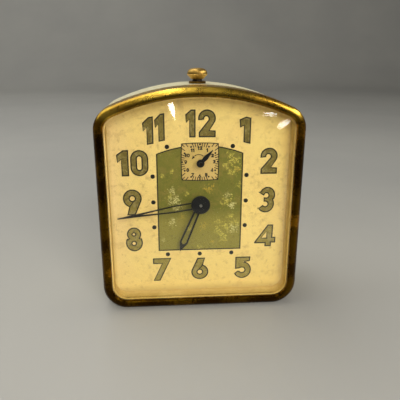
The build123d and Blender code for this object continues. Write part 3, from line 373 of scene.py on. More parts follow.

# Where the bezel is darkest, as tarnish and painted dark reflection, and where it shows copper: across, up,
# radius, raggedness
BEZEL_TARNISH_AND_SHADE = (
    (-50.5, 30.0, 11.0, 0.4), (-50.0, 10.0, 9.0, 0.5), (-49.0, -20.0, 5.0, 0.6),
    (51.0, 18.0, 14.0, 0.5), (49.0, -36.0, 7.0, 0.5), (-46.0, -50.0, 13.0, 0.4),
    (-25.0, -56.0, 12.0, 0.4), (5.0, -57.0, 14.0, 0.4), (35.0, -56.0, 14.0, 0.4),
)
BEZEL_COPPER = (
    (-49.0, 42.0, 5.0, 0.8), (-36.0, 50.0, 6.0, 0.8), (30.0, 53.0, 10.0, 0.7),
    (50.0, 38.0, 6.0, 0.6), (49.5, -9.0, 5.0, 0.5), (-46.5, -35.0, 3.0, 0.6),
)


def make_bezel_brass():
    """The bezel's brass: gold over the arch as a painted reflection of the ceiling light, deep brown down the
    sides and along the foot as tarnish and painted dark reflection, with a painted shade along the arch's
    inner half.
    """
    material, tree, surface = new_surface("bezel_brass_tarnish_and_painted_light")
    where = tree.axes()
    # Painted reflection: gold over the arch, dark brown down the sides
    crown = tree.remap(where["Z"], *[arbor_up + height for height in BEZEL_LIT_CROWN], smooth=True)
    sides = tree.mix(tree.clouds(14.0, 0.5, 0.2, 23.0), srgb(0.40, 0.285, 0.03), srgb(0.30, 0.205, 0.015))
    gold = tree.mix(tree.clouds(9.0, 0.35, 0.2, 21.0), srgb(0.82, 0.67, 0.24), srgb(0.70, 0.53, 0.19))
    colour = tree.mix(crown, sides, gold)
    # Tarnish patches, darkened further as painted dark reflection down the sides and along the foot
    colour = tree.tint(colour, srgb(0.20, 0.12, 0.01), tree.spots(BEZEL_TARNISH_AND_SHADE), 0.9)
    colour = tree.tint(colour, srgb(0.66, 0.45, 0.11), tree.spots(BEZEL_COPPER), 0.5)
    # Painted shade over the inner half of the arch, strongest where the arch is gold
    high, low = [arbor_up + height for height in BEZEL_PAINTED_ARCH_SHADE]
    painted_arch_shade = tree.remap(arched_height(tree, where), high, low, 0.0, 0.75, smooth=True)
    painted_arch_shade = tree.math("MULTIPLY", painted_arch_shade, tree.remap(where["X"], *BEZEL_SHADE_FADES_LEFT, smooth=True))
    colour = tree.tint(colour, srgb(0.30, 0.19, 0.03), painted_arch_shade, crown)
    dress(tree, surface, colour, tree.remap(tree.clouds(4.0, 0.5, 0.2, 5.0), 0.0, 1.0, 0.24, 0.36), 1.0)
    tree.feed(surface["Normal"], tree.bump(tree.noise(tree.millimetres(), 2.5, 1.0), 0.05, 0.04))
    return material


def make_turned_brass():
    """The turned brass of the knobs, with brown and dark stains of two sizes."""
    material, tree, surface = new_surface("turned_brass")
    brown = srgb(0.55, 0.36, 0.16)
    colour = tree.mix(tree.clouds(11.0, 0.35, 0.2, 40.0), srgb(0.82, 0.68, 0.34), brown)
    colour = tree.tint(colour, brown, tree.clouds(1.8, 0.35, 0.12, 43.0), 0.4)
    colour = tree.tint(colour, srgb(0.25, 0.17, 0.06), tree.flecks(0.6, 0.14, 40.0), 0.5)
    dress(tree, surface, colour, tree.remap(tree.clouds(1.5, 0.5, 0.2), 0.0, 1.0, 0.36, 0.5), 1.0)
    tree.feed(surface["Normal"], tree.bump(tree.noise(tree.millimetres(), 0.5), 0.2, 0.03))
    return material


def make_plain_metal(name, colour, stain, rough_low, rough_high, seed):
    """A metal of the movement or the back: a base colour, faint stains and a fine grain."""
    material, tree, surface = new_surface(name)
    shade = tree.mix(tree.clouds(5.0, 0.4, 0.15, seed), colour, stain)
    shade = tree.mix(tree.flecks(0.5, 0.1, seed), shade, stain)
    rough = tree.remap(tree.clouds(2.0, 0.5, 0.2, seed + 1.0), 0.0, 1.0, rough_low, rough_high)
    dress(tree, surface, shade, rough, 1.0)
    grain = tree.noise(tree.millimetres((0.1, 1.0, 1.0)), 0.4, 2.0)
    tree.feed(surface["Normal"], tree.bump(grain, 0.15, 0.02))
    return material


def aged_print(tree, colour, stain_colour, seed, strength=1.0):
    """Printed colour with the clouds, stains and grey bloom of an old dial."""
    colour = tree.tint(colour, stain_colour, tree.clouds(16.0, 0.5, 0.16, seed), 0.55 * strength)
    grey = tree.clouds(5.0, 0.3, 0.12, seed + 5.0)
    return tree.tint(colour, srgb(0.66, 0.52, 0.32), grey, 0.25 * strength)


# The shade along the dial's edges: under the arch by height over the arbor, then by axis
DIAL_ARCH_SHADE = (52.5, 54.0, 0.05)
DIAL_SHADES = (("X", 44.0, 46.5, 0.1), ("X", -44.0, -46.5, 0.3), ("Z", 10.0, 5.0, 0.5))


def make_dial_cream():
    """The dial's cream ground: warm yellow in the middle, pinker at the left, with grey stains."""
    material, tree, surface = new_surface("aged_cream_print")
    colour = aged_print(tree, srgb(0.92, 0.81, 0.50), srgb(0.90, 0.77, 0.48), 3.0)
    where = tree.axes()
    left = tree.remap(where["X"], -30.0, -46.0, 0.0, 0.55, smooth=True)
    colour = tree.mix(left, colour, srgb(0.90, 0.79, 0.58))
    # Painted shade: the cream darkens towards the bottom of the dial
    low = tree.remap(where["Z"], 50.0, 6.0, 0.0, 0.7, smooth=True)
    colour = tree.mix(low, colour, srgb(0.89, 0.78, 0.47))
    start, end, depth = DIAL_ARCH_SHADE
    shade = tree.remap(arched_height(tree, where), arbor_up + start, arbor_up + end, 0.0, depth, smooth=True)
    for axis, start, end, depth in DIAL_SHADES:
        shade = tree.math("MAXIMUM", shade, tree.remap(where[axis], start, end, 0.0, depth, smooth=True))
    colour = tree.mix(shade, colour, srgb(0.60, 0.49, 0.27))
    colour = tree.tint(colour, srgb(0.62, 0.47, 0.27), tree.clouds(2.0, 0.22, 0.05, 31.0), 0.3)
    colour = tree.tint(colour, srgb(0.66, 0.50, 0.30), tree.clouds(7.0, 0.2, 0.05, 44.0), 0.25)
    colour = tree.tint(colour, srgb(0.45, 0.36, 0.2), tree.flecks(0.6, 0.1, 8.0), 0.5)
    dress(tree, surface, colour, 0.62)
    tree.feed(surface["Normal"], tree.bump(tree.noise(tree.millimetres(), 0.9), 0.1, 0.03))
    return material


# Corrosion that has lifted the green print, by its colour: across, up, radius
WHITE_CORROSION = (
    (-13.0, 1.0, 3.1), (-11.9, -2.9, 2.0), (-14.2, 6.4, 1.8), (16.8, -2.4, 2.2), (17.8, -15.9, 2.4),
    (-14.7, -11.4, 2.2), (-19.6, -20.9, 1.4), (14.0, 2.5, 1.8),
)
YELLOW_CORROSION = (
    (14.5, -14.0, 3.2), (11.5, -18.5, 2.4), (10.0, -11.5, 2.2), (16.0, -8.5, 1.8), (16.5, 15.0, 2.4),
    (13.8, 0.0, 3.4), (17.8, 21.2, 3.2), (14.0, 19.0, 2.2), (15.6, 24.2, 2.0), (20.8, 8.7, 1.7),
    (18.4, -11.9, 2.4), (-5.0, -14.9, 1.6), (12.7, -20.9, 2.2), (-0.3, -26.4, 1.4), (9.0, -16.0, 1.8),
    (-15.5, 3.0, 1.8), (-19.0, 14.0, 1.2), (-14.4, 16.2, 1.1), (-6.7, 4.2, 1.3),
)
ORANGE_CORROSION = (
    (5.0, 6.7, 2.4), (1.4, -13.9, 2.1), (19.0, 17.0, 1.8), (-9.0, -8.0, 1.3), (7.0, -23.0, 1.3),
)
CORROSION_RAGGED = 1.1
CORROSION = (
    (ORANGE_CORROSION, srgb(0.74, 0.62, 0.24)),
    (YELLOW_CORROSION, srgb(0.78, 0.73, 0.34)),
    (WHITE_CORROSION, srgb(0.82, 0.79, 0.56)),
)


def make_panel_green():
    """The olive panel: lighter below, with yellow and white corrosion that has come through."""
    material, tree, surface = new_surface("olive_panel_print")
    colour = aged_print(tree, srgb(0.41, 0.41, 0.13), srgb(0.475, 0.44, 0.15), 12.0, 0.8)
    low = tree.remap(tree.axes()["Z"], arbor_up - 2.0, arbor_up - 12.0, 0.0, 0.75, smooth=True)
    colour = tree.mix(low, colour, srgb(0.55, 0.51, 0.20))
    broken = tree.remap(tree.noise(tree.millimetres(), 0.6, 4.0, 0.85), 0.50, 0.54)
    lifted = 0.0
    for places, shade in CORROSION:
        cover = tree.spots([(*place, CORROSION_RAGGED) for place in places])
        colour = tree.tint(colour, srgb(0.64, 0.57, 0.24), cover, 0.2)
        cover = tree.math("MULTIPLY", cover, broken)
        colour = tree.mix(cover, colour, shade)
        lifted = tree.math("MAXIMUM", lifted, cover, clamp=True)
    loose = tree.math("MULTIPLY", tree.flecks(0.45, 0.2, 17.0), tree.clouds(7.0, 0.5, 0.1, 9.0))
    colour = tree.tint(colour, srgb(0.80, 0.74, 0.42), loose, 0.7)
    colour = tree.tint(colour, srgb(0.34, 0.31, 0.06), tree.clouds(1.4, 0.22, 0.05, 19.0), 0.5)
    dress(tree, surface, colour, tree.remap(lifted, 0.0, 1.0, 0.5, 0.8))
    height = tree.math("ADD", tree.noise(tree.millimetres(), 0.8), tree.math("MULTIPLY", lifted, 1.5))
    tree.feed(surface["Normal"], tree.bump(height, 0.25, 0.05))
    return material


def make_ring_cream():
    """The ring between dial and glass: painted like the dial, in a darker cream as painted shade by the
    bezel.
    """
    material, tree, surface = new_surface("ring_paint_painted_shade")
    colour = tree.mix(tree.clouds(9.0, 0.5, 0.15, 35.0), srgb(0.84, 0.73, 0.44), srgb(0.78, 0.66, 0.36))
    # Painted shade: darker again towards the left, by the bezel
    left = tree.remap(tree.axes()["X"], -42.0, -45.0, smooth=True)
    colour = tree.mix(left, colour, srgb(0.74, 0.62, 0.35))
    colour = tree.mix(tree.flecks(0.6, 0.08, 36.0), colour, srgb(0.22, 0.15, 0.05))
    dress(tree, surface, colour, 0.6)
    return material


def make_small_dial_cream():
    """The alarm dial's own cream, with yellower blotches."""
    material, tree, surface = new_surface("alarm_dial_print")
    dress(tree, surface, aged_print(tree, srgb(0.80, 0.68, 0.42), srgb(0.76, 0.66, 0.33), 27.0), 0.62)
    return material


def make_ink(name, colour, faded, seed):
    """Print ink that has worn thin in small places."""
    material, tree, surface = new_surface(name)
    dress(tree, surface, tree.mix(tree.clouds(1.2, 0.3, 0.1, seed), colour, faded), 0.55)
    return material


def make_numeral_fill():
    """The numerals' filling: olive-grey above, lighter and yellower below, with pale flecks."""
    material, tree, surface = new_surface("numeral_filling")
    low = tree.remap(tree.axes()["Z"], arbor_up + 14.0, arbor_up - 20.0, smooth=True)
    colour = tree.mix(low, srgb(0.47, 0.42, 0.19), srgb(0.58, 0.52, 0.24))
    darker = tree.mix(low, srgb(0.41, 0.35, 0.11), srgb(0.54, 0.48, 0.18))
    colour = tree.mix(tree.clouds(3.2, 0.5, 0.14, 51.0), colour, darker)
    colour = tree.tint(colour, srgb(0.60, 0.55, 0.36), tree.clouds(2.4, 0.35, 0.06, 55.0), 0.6)
    colour = tree.tint(colour, srgb(0.34, 0.30, 0.12), tree.clouds(1.6, 0.3, 0.06, 59.0), 0.6)
    colour = tree.tint(colour, srgb(0.84, 0.79, 0.52), tree.flecks(0.55, 0.22, 57.0), 0.75)
    dress(tree, surface, colour, 0.7)
    tree.feed(surface["Normal"], tree.bump(tree.noise(tree.millimetres(), 0.5), 0.3, 0.04))
    return material


def make_hand_black():
    """The hands' black lacquer, with a faint blue sheen and worn places."""
    material, tree, surface = new_surface("hand_lacquer")
    colour = tree.mix(tree.clouds(2.5, 0.3, 0.1, 61.0), srgb(0.03, 0.035, 0.035), srgb(0.06, 0.06, 0.05))
    dress(tree, surface, colour, tree.remap(tree.noise(tree.millimetres(), 1.0), 0.3, 0.7, 0.3, 0.5))
    return material


def make_clear_glass():
    """The crystal: clear glass, through which lamps light the dial."""
    material, tree, surface = new_surface("clear_glass")
    haze = tree.remap(tree.clouds(12.0, 0.3, 0.2, 70.0), 0.0, 1.0, 0.0, 0.035)
    dress(tree, surface, srgb(0.99, 0.99, 0.97), haze)
    surface["Transmission Weight"].default_value = 1.0
    surface["IOR"].default_value = 1.48
    shader = material.node_tree.nodes["Principled BSDF"]
    clear = tree.add("ShaderNodeBsdfTransparent")
    clear.inputs["Color"].default_value = srgb(0.97, 0.97, 0.95)
    blend = tree.add("ShaderNodeMixShader")
    tree.feed(blend.inputs[0], tree.add("ShaderNodeLightPath").outputs["Is Shadow Ray"])
    tree.feed(blend.inputs[1], shader.outputs[0])
    tree.feed(blend.inputs[2], clear.outputs[0])
    tree.feed(material.node_tree.nodes["Material Output"].inputs["Surface"], blend.outputs[0])
    return material


def make_floor_grey():
    """The pale table and backdrop: a faint mottle, a painted pool of light by the clock, and painted shade at
    the front edge.
    """
    material, tree, surface = new_surface("pale_table")
    where = tree.add("ShaderNodeTexCoord").outputs[COORDINATES]
    cloud = tree.noise(where, 0.25, 4.0, 0.6)
    colour = tree.mix(tree.remap(cloud, 0.35, 0.65), srgb(0.665, 0.66, 0.63), srgb(0.635, 0.63, 0.605))
    split = tree.add("ShaderNodeSeparateXYZ")
    tree.feed(split.inputs[0], where)
    # Painted light: the table is lighter close by the clock
    near = tree.remap(split.outputs["Y"], 0.25, 0.0, 0.0, 0.8, smooth=True)
    colour = tree.mix(near, colour, srgb(0.68, 0.67, 0.635))
    # Painted shade: the table darkens towards its front edge, softening that edge's image in the glass
    front = tree.remap(split.outputs["Y"], -0.11, TABLE_FRONT, 0.0, 0.85, smooth=True)
    colour = tree.mix(front, colour, srgb(0.30, 0.30, 0.30))
    dress(tree, surface, colour, 0.55)
    return material


cream_enamel = make_cream_enamel()
bezel_brass = make_bezel_brass()
turned_brass = make_turned_brass()
movement_brass = make_plain_metal(
    "movement_brass", srgb(0.84, 0.70, 0.40), srgb(0.62, 0.48, 0.24), 0.25, 0.42, 81.0)
plated_steel = make_plain_metal(
    "nickel_plate", srgb(0.72, 0.71, 0.68), srgb(0.55, 0.52, 0.46), 0.2, 0.38, 83.0)
bright_steel = make_plain_metal(
    "bright_steel", srgb(0.70, 0.70, 0.70), srgb(0.54, 0.52, 0.49), 0.22, 0.4, 85.0)
dark_steel = make_plain_metal(
    "dark_steel", srgb(0.30, 0.28, 0.25), srgb(0.20, 0.16, 0.12), 0.3, 0.5, 87.0)
dial_cream = make_dial_cream()
panel_green = make_panel_green()
small_dial_cream = make_small_dial_cream()
black_ink = make_ink("black_ink", srgb(0.04, 0.035, 0.02), srgb(0.11, 0.09, 0.05), 90.0)
outline_ink = make_ink("numeral_outline_ink", srgb(0.07, 0.055, 0.01), srgb(0.14, 0.11, 0.03), 93.0)
numeral_fill = make_numeral_fill()
hand_black = make_hand_black()
clear_glass = make_clear_glass()
floor_grey = make_floor_grey()
ring_cream = make_ring_cream()
# The collar's brass is darker as painted shade under the knob; its clouds are stains
collar_brass = make_plain_metal(
    "collar_brass_stain_and_shade", srgb(0.50, 0.39, 0.17), srgb(0.28, 0.20, 0.08), 0.4, 0.55, 99.0)
pin_steel = make_plain_metal("pin_steel", srgb(0.86, 0.85, 0.82), srgb(0.70, 0.68, 0.64), 0.3, 0.45, 97.0)


# What each slot of the record is finished with, and the nodes that differ
finishes = {
    "cream_paint": cream_enamel,
    "aged_brass": turned_brass,
    "movement_brass": movement_brass,
    "clear_glass": clear_glass,
    "printed_dial": dial_cream,
    "hand_black": hand_black,
    "plated_steel": plated_steel,
    "steel": bright_steel,
    "dark_steel": dark_steel,
}
own_finishes = {
    "bezel": bezel_brass,
    "spacer_ring": ring_cream,
    "plunger_collar": collar_brass,
    "minute_arbor": pin_steel,
    "alarm_set_arbor": dark_steel,
}


def finish_nodes():
    """Gives every piece of the clock its finish in place of the plain one that it came with."""
    slots = {part["node"]: part["material_slot"] for part in frame["record"]["subparts"]}
    for name, node in frame["nodes"].items():
        material = own_finishes.get(name, finishes[slots[name]])
        node.data.materials.clear()
        node.data.materials.append(material)


finish_nodes()


# Flat print shapes

def arc(centre, radii, start, end, steps=16):
    """Points along an arc of an ellipse between two angles in degrees."""
    points = []
    for k in range(steps + 1):
        turn = math.radians(start + (end - start) * k / steps)
        points.append((centre[0] + radii[0] * math.cos(turn), centre[1] + radii[1] * math.sin(turn)))
    return points


def ring(centre, radii, steps=24):
    """A closed loop round an ellipse."""
    return arc(centre, radii, 0.0, 360.0, steps)[:-1]


def signed_area(loop):
    """Twice a loop's area, positive where it runs counter-clockwise."""
    return sum(a[0] * b[1] - b[0] * a[1] for a, b in zip(loop, loop[1:] + loop[:1]))


def grown(loop, amount, limit=2.2):
    """The loop moved outward by an amount, with its corners mitred up to a limit."""
    side = 1.0 if signed_area(loop) > 0 else -1.0
    points = []
    count = len(loop)
    for k, here in enumerate(loop):
        before = loop[k - 1]
        after = loop[(k + 1) % count]
        normals = []
        for start, end in ((before, here), (here, after)):
            length = math.dist(start, end)
            normals.append(((end[1] - start[1]) / length * side, (start[0] - end[0]) / length * side))
        (ax, ay), (bx, by) = normals
        share = 1.0 + ax * bx + ay * by
        reach = min(1.0 / share, limit / 2) if share > 1e-6 else limit / 2
        points.append((here[0] + (ax + bx) * reach * amount, here[1] + (ay + by) * reach * amount))
    return points


def add_flat(mesh, loops, low, high):
    """Adds a flat closed piece with an outer loop and holes, between two heights over the dial."""
    corners = [[Vector((x, up, 0.0)) for x, up in loop] for loop in loops]
    triangles = tessellate_polygon(corners)
    flat = [point for loop in loops for point in loop]
    fronts = [mesh.verts.new(on_dial(x, up, high)) for x, up in flat]
    backs = [mesh.verts.new(on_dial(x, up, low)) for x, up in flat]
    for triangle in triangles:
        mesh.faces.new([fronts[k] for k in triangle])
        mesh.faces.new([backs[k] for k in reversed(triangle)])
    start = 0
    for loop in loops:
        count = len(loop)
        for k in range(count):
            here, after = start + k, start + (k + 1) % count
            mesh.faces.new((fronts[here], fronts[after], backs[after], backs[here]))
        start += count


def new_piece(name, mesh, material, smooth=False):
    """A new object of the scene from a mesh, with one material."""
    data = bpy.data.meshes.new(name)
    mesh.to_mesh(data)
    mesh.free()
    if smooth:
        data.polygons.foreach_set("use_smooth", [True] * len(data.polygons))
    data.materials.append(material)
    piece = bpy.data.objects.new(name, data)
    bpy.context.scene.collection.objects.link(piece)
    return piece


def print_piece(name, shapes, layer, material, body="frame"):
    """One flat piece over the dial from a list of shapes, each a list of an outer loop and holes."""
    mesh = bmesh.new()
    for loops in shapes:
        add_flat(mesh, loops, *layer)
    bmesh.ops.recalc_face_normals(mesh, faces=mesh.faces)
    piece = new_piece(name, mesh, material)
    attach(piece, body)
    return piece


# The large numerals: each shape is drawn in a box one wide and one high

def one():
    return [[(0.56, 1.0), (1.0, 1.0), (1.0, 0.0), (0.385, 0.0), (0.385, 0.636), (0.07, 0.52), (0.0, 0.83)]]


def two():
    bowl = arc((0.507, 0.685), (0.493, 0.315), -24.0, 187.0, 24)
    counter = arc((0.47, 0.665), (0.125, 0.09), 195.0, -25.0, 14)
    foot = [(0.05, 0.19), (0.05, 0.0), (1.0, 0.0), (1.0, 0.245), (0.66, 0.255)]
    return [bowl + [(0.02, 0.62)] + counter + foot]


def three():
    upper = arc((0.53, 0.675), (0.46, 0.325), 152.0, -28.0, 18)
    lower = arc((0.45, 0.34), (0.5, 0.34), 32.0, -152.0, 20)
    low_counter = arc((0.43, 0.335), (0.13, 0.09), -150.0, 88.0, 10)
    high_counter = arc((0.47, 0.67), (0.12, 0.085), -80.0, 130.0, 10)
    return [upper + lower + [(0.0, 0.155), (0.27, 0.30)] + low_counter
            + [(0.32, 0.43), (0.32, 0.60)] + high_counter + [(0.33, 0.655), (0.0, 0.80)]]


def four():
    outer = [(0.60, 1.0), (0.86, 1.0), (0.85, 0.43), (1.0, 0.43), (1.0, 0.165), (0.80, 0.165),
             (0.80, 0.0), (0.49, 0.0), (0.49, 0.15), (0.0, 0.15), (0.0, 0.21)]
    return [outer, [(0.33, 0.40), (0.56, 0.40), (0.56, 0.67)]]


def five():
    bowl = arc((0.49, 0.39), (0.51, 0.39), 92.0, -156.0, 26)
    counter = arc((0.47, 0.39), (0.15, 0.105), 200.0, 455.0, 14)
    return [[(0.075, 1.0), (0.95, 1.0), (0.92, 0.79), (0.52, 0.745)] + bowl + [(0.21, 0.355)]
            + counter + [(0.30, 0.46), (0.075, 0.44)]]


def seven():
    return [[(0.0, 1.0), (1.0, 1.0), (0.375, 0.0), (0.0, 0.0), (0.475, 0.755), (0.0, 0.755)]]


def eight():
    upper = arc((0.5, 0.72), (0.42, 0.28), -38.0, 218.0, 26)
    lower = arc((0.5, 0.36), (0.5, 0.36), 150.0, 390.0, 30)
    return [upper + lower, ring((0.49, 0.715), (0.075, 0.045), 14), ring((0.48, 0.335), (0.10, 0.066), 16)]


def nine():
    bowl = arc((0.5, 0.65), (0.5, 0.35), -16.0, 248.0, 36)
    return [bowl + [(0.19, 0.0), (0.645, 0.0)], ring((0.5, 0.65), (0.13, 0.09), 18)]


def six():
    return [[(1.0 - x, 1.0 - up) for x, up in loop] for loop in nine()]


def nought():
    def oval(half_width, half_height, bend):
        top = arc((0.5, 0.5 + half_height - bend), (half_width, bend), 0.0, 180.0, 20)
        low = arc((0.5, 0.5 - half_height + bend), (half_width, bend), 180.0, 360.0, 20)
        return top + low
    return [oval(0.5, 0.5, 0.34), oval(0.12, 0.255, 0.08)]


NUMERAL_OUTLINE = 0.66
OVERLAP_LINE = 0.8 * NUMERAL_OUTLINE

# Each digit: its shape, left, right, low and high in millimetres, and how much its right side rises
numerals = (
    (one, -7.3, -2.2, 33.5, 47.2, 0.0), (two, -1.1, 7.8, 33.5, 47.2, 0.0),
    (one, 19.5, 25.4, 30.6, 43.7, -1.5),
    (two, 30.65, 39.8, 14.2, 27.8, 0.0), (three, 30.55, 39.7, -6.9, 7.2, 0.0),
    (four, 29.4, 41.1, -26.4, -13.8, 0.0), (five, 18.7, 28.2, -45.3, -32.2, 0.0),
    (six, -4.6, 4.7, -45.1, -32.1, 0.0), (seven, -25.2, -15.3, -45.3, -31.7, 0.0),
    (eight, -39.2, -30.2, -27.2, -13.6, 0.0), (nine, -39.6, -29.9, -6.8, 7.15, 0.0),
    (one, -41.9, -35.75, 14.1, 27.5, 0.0), (nought, -34.95, -25.9, 14.1, 27.5, 0.0),
    (one, -28.4, -23.0, 30.1, 43.6, 1.0), (one, -22.5, -17.4, 31.6, 45.1, 1.0),
)

# Where one stroke of a digit passes over another: a fine line in the same box
overlaps = {
    nine: ((0.60, 0.575), (0.345, 0.335)),
    six: ((0.40, 0.425), (0.655, 0.665)),
}


def placed(loop, left, right, low, high, rise):
    """A loop of a digit's box, in millimetres on the dial."""
    width, height = right - left, high - low
    return [(left + x * width, low + up * height + (x - 0.5) * rise) for x, up in loop]


def line_loop(points, width):
    """A band of even width along a line of points."""
    left, right = [], []
    for k, here in enumerate(points):
        before = points[max(k - 1, 0)]
        after = points[min(k + 1, len(points) - 1)]
        length = math.dist(before, after)
        nx, ny = -(after[1] - before[1]) / length, (after[0] - before[0]) / length
        left.append((here[0] + nx * width / 2, here[1] + ny * width / 2))
        right.append((here[0] - nx * width / 2, here[1] - ny * width / 2))
    return left + right[::-1]


def print_numerals():
    """The twelve hour numerals: dark outlined shapes with an olive filling on top."""
    outlines, fillings, lines = [], [], []
    for shape, left, right, low, high, rise in numerals:
        loops = [placed(loop, left, right, low, high, rise) for loop in shape()]
        outlines.append(loops)
        inner = [grown(loops[0], -NUMERAL_OUTLINE)]
        inner += [grown(hole, NUMERAL_OUTLINE) for hole in loops[1:]]
        fillings.append(inner)
        if shape in overlaps:
            ends = placed(overlaps[shape], left, right, low, high, rise)
            lines.append([line_loop(ends, OVERLAP_LINE)])
    print_piece("hour_numeral_outlines", outlines, numeral_edge_layer, outline_ink)
    print_piece("hour_numeral_fillings", fillings, numeral_layer, numeral_fill)
    print_piece("numeral_overlap_lines", lines, overlap_layer, outline_ink)


def panel_loop(inset):
    """The green panel's outline: straight sides and foot, and an arched top."""
    half = panel_half_width - inset
    rise = panel_crown - panel_shoulder
    radius = (panel_half_width**2 + rise**2) / (2 * rise)
    reach = math.degrees(math.asin(half / radius))
    top = arc((0.0, panel_crown - radius - inset), (radius, radius), 90.0 - reach, 90.0 + reach, 32)
    return [(-half, panel_low + inset), (half, panel_low + inset)] + top


def small_dial_loop(inset):
    """The alarm dial's square with gently bowed sides."""
    corner_x, corner_y = small_corner[0] - inset, small_corner[1] - inset
    half_x, half_y = small_half_width - inset, small_half_height - inset
    bow_x, bow_y = half_x - corner_x, half_y - corner_y
    corners = [(-corner_x, -corner_y), (corner_x, -corner_y), (corner_x, corner_y), (-corner_x, corner_y)]
    bows = [(0.0, -bow_y), (bow_x, 0.0), (0.0, bow_y), (-bow_x, 0.0)]
    loop = []
    for start, end, bow in zip(corners, corners[1:] + corners[:1], bows):
        for k in range(small_side_steps):
            share = k / small_side_steps
            lift = 4 * share * (1 - share)
            loop.append((start[0] + (end[0] - start[0]) * share + bow[0] * lift,
                         alarm_up + start[1] + (end[1] - start[1]) * share + bow[1] * lift))
    return loop


def border_reach(turn):
    """How far the alarm dial's border lies from its middle at an angle."""
    across = small_half_width / max(abs(math.cos(turn)), 1e-6)
    up = small_half_height / max(abs(math.sin(turn)), 1e-6)
    return min(across, up)


def print_panel():
    """The green panel with its fine dark line, and the alarm dial set into its top."""
    print_piece("green_panel", [[panel_loop(panel_line)]], panel_layer, panel_green)
    print_piece("panel_line", [[panel_loop(0.0), panel_loop(panel_line)]], panel_edge_layer, outline_ink)
    print_piece("alarm_dial_ground", [[small_dial_loop(small_line)]], small_dial_layer, small_dial_cream)
    print_piece("alarm_dial_line", [[small_dial_loop(0.0), small_dial_loop(small_line)]], small_edge_layer,
                outline_ink)


def print_alarm_ticks():
    """Fine quarter-hour lines round the alarm dial, with a dot at each hour."""
    lines, dots = [], []
    for k in range(alarm_quarters):
        turn = 2 * math.pi * k / alarm_quarters
        out = border_reach(turn) - small_line
        if k % 4 == 0:
            at = min(alarm_dot_circle, out - alarm_dot_gap)
            centre = (at * math.cos(turn), alarm_up + at * math.sin(turn))
            dots.append([ring(centre, (alarm_dot, alarm_dot), 12)])
            continue
        inner = max(alarm_tick_inner, out - alarm_tick_length)
        ends = [(r * math.cos(turn), alarm_up + r * math.sin(turn)) for r in (inner, out)]
        lines.append([line_loop(ends, alarm_tick_width)])
    print_piece("alarm_dial_ticks", lines, ink_layer, black_ink)
    print_piece("alarm_dial_dots", dots, ink_layer, black_ink)


def print_hour_dots():
    """The round black dots outside the green panel."""
    shapes = [[ring(at, (hour_dot, hour_dot), 20)] for at in hour_dots]
    print_piece("hour_dots", shapes, ink_layer, black_ink)


def print_arrow():
    """The curved arrow on the alarm dial that shows which way it is set."""
    tail = arc(arrow_centre, (arrow_radius, arrow_radius), 50.0, 130.0, 10)
    end = tail[-1]
    head = [(end[0] - 1.3, end[1] - 1.5), (end[0] + 0.35, end[1] - 0.75), (end[0] - 0.6, end[1] + 0.35)]
    print_piece("setting_arrow", [[line_loop(tail, arrow_width)], [head]], ink_layer, outline_ink)


# The alarm dial's small numerals: text, centre across and up in millimetres
small_numerals = (
    ("12", 0.0, 28.1), ("11", -3.7, 27.0), ("10", -6.4, 24.4), ("9", -7.2, 21.0), ("8", -6.2, 16.9),
    ("7", -3.6, 14.3), ("6", -0.1, 13.5), ("5", 3.2, 14.2), ("4", 6.1, 16.7), ("3", 7.2, 21.0),
    ("2", 6.3, 24.2), ("1", 3.6, 27.0),
)
SMALL_NUMERAL_HEIGHT = 1.8
SMALL_NUMERAL_WIDTH = 1.35
SMALL_ONE_WIDTH = 0.75
SMALL_GAP = 0.26
SMALL_GROWTH = 0.06
SMALL_HOLE_GROWTH = 0.05
digits = {"0": nought, "1": one, "2": two, "3": three, "4": four,
          "5": five, "6": six, "7": seven, "8": eight, "9": nine}


def print_small_numerals():
    """The twelve small numerals, from the same digits as the large ones."""
    shapes = []
    for text, across, up in small_numerals:
        widths = [SMALL_ONE_WIDTH if digit == "1" else SMALL_NUMERAL_WIDTH for digit in text]
        left = across - (sum(widths) + SMALL_GAP * (len(text) - 1)) / 2
        for digit, width in zip(text, widths):
            low = up - SMALL_NUMERAL_HEIGHT / 2
            loops = [placed(loop, left, left + width, low, low + SMALL_NUMERAL_HEIGHT, 0.0)
                     for loop in digits[digit]()]
            holes = [grown(hole, SMALL_HOLE_GROWTH) for hole in loops[1:]]
            shapes.append([grown(loops[0], SMALL_GROWTH)] + holes)
            left += width + SMALL_GAP
    print_piece("alarm_numerals", shapes, ink_layer, black_ink)


print_panel()
print_numerals()
print_hour_dots()
print_alarm_ticks()
print_arrow()
print_small_numerals()


# The alarm hand: a short leaf, in millimetres from its hub towards its tip

ALARM_HAND_TURN = 42.5
ALARM_HUB_RADIUS = 2.0
ALARM_PIN_RADIUS = 0.82
ALARM_HAND_LEAF = (
    (0.9, 1.8), (0.95, 2.6), (1.15, 3.4), (1.1, 4.4), (0.85, 5.6), (0.6, 6.8), (0.36, 8.0), (0.2, 9.0),
)


def make_alarm_hand():
    """The alarm hand as a flat leaf on a round hub, at the height of the clock's own."""
    low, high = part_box("alarm_hand")
    heights = ((face_y - high[1]) / MM, (face_y - low[1]) / MM)
    hub = arc((0.0, 0.0), (ALARM_HUB_RADIUS, ALARM_HUB_RADIUS), 62.0, -242.0, 40)
    loop = list(ALARM_HAND_LEAF) + [(-x, up) for x, up in reversed(ALARM_HAND_LEAF)]
    loop += hub[::-1]
    turn = math.radians(-ALARM_HAND_TURN)
    cos, sin = math.cos(turn), math.sin(turn)

    def turned(points):
        return [(x * cos - up * sin, alarm_up + x * sin + up * cos) for x, up in points]

    bore = ring((0.0, 0.0), (ALARM_PIN_RADIUS, ALARM_PIN_RADIUS))
    hand = print_piece("short_alarm_hand", [[turned(loop), turned(bore)]], heights, hand_black,
                       "alarm_setting")
    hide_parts("alarm_hand")


make_alarm_hand()


# The glass

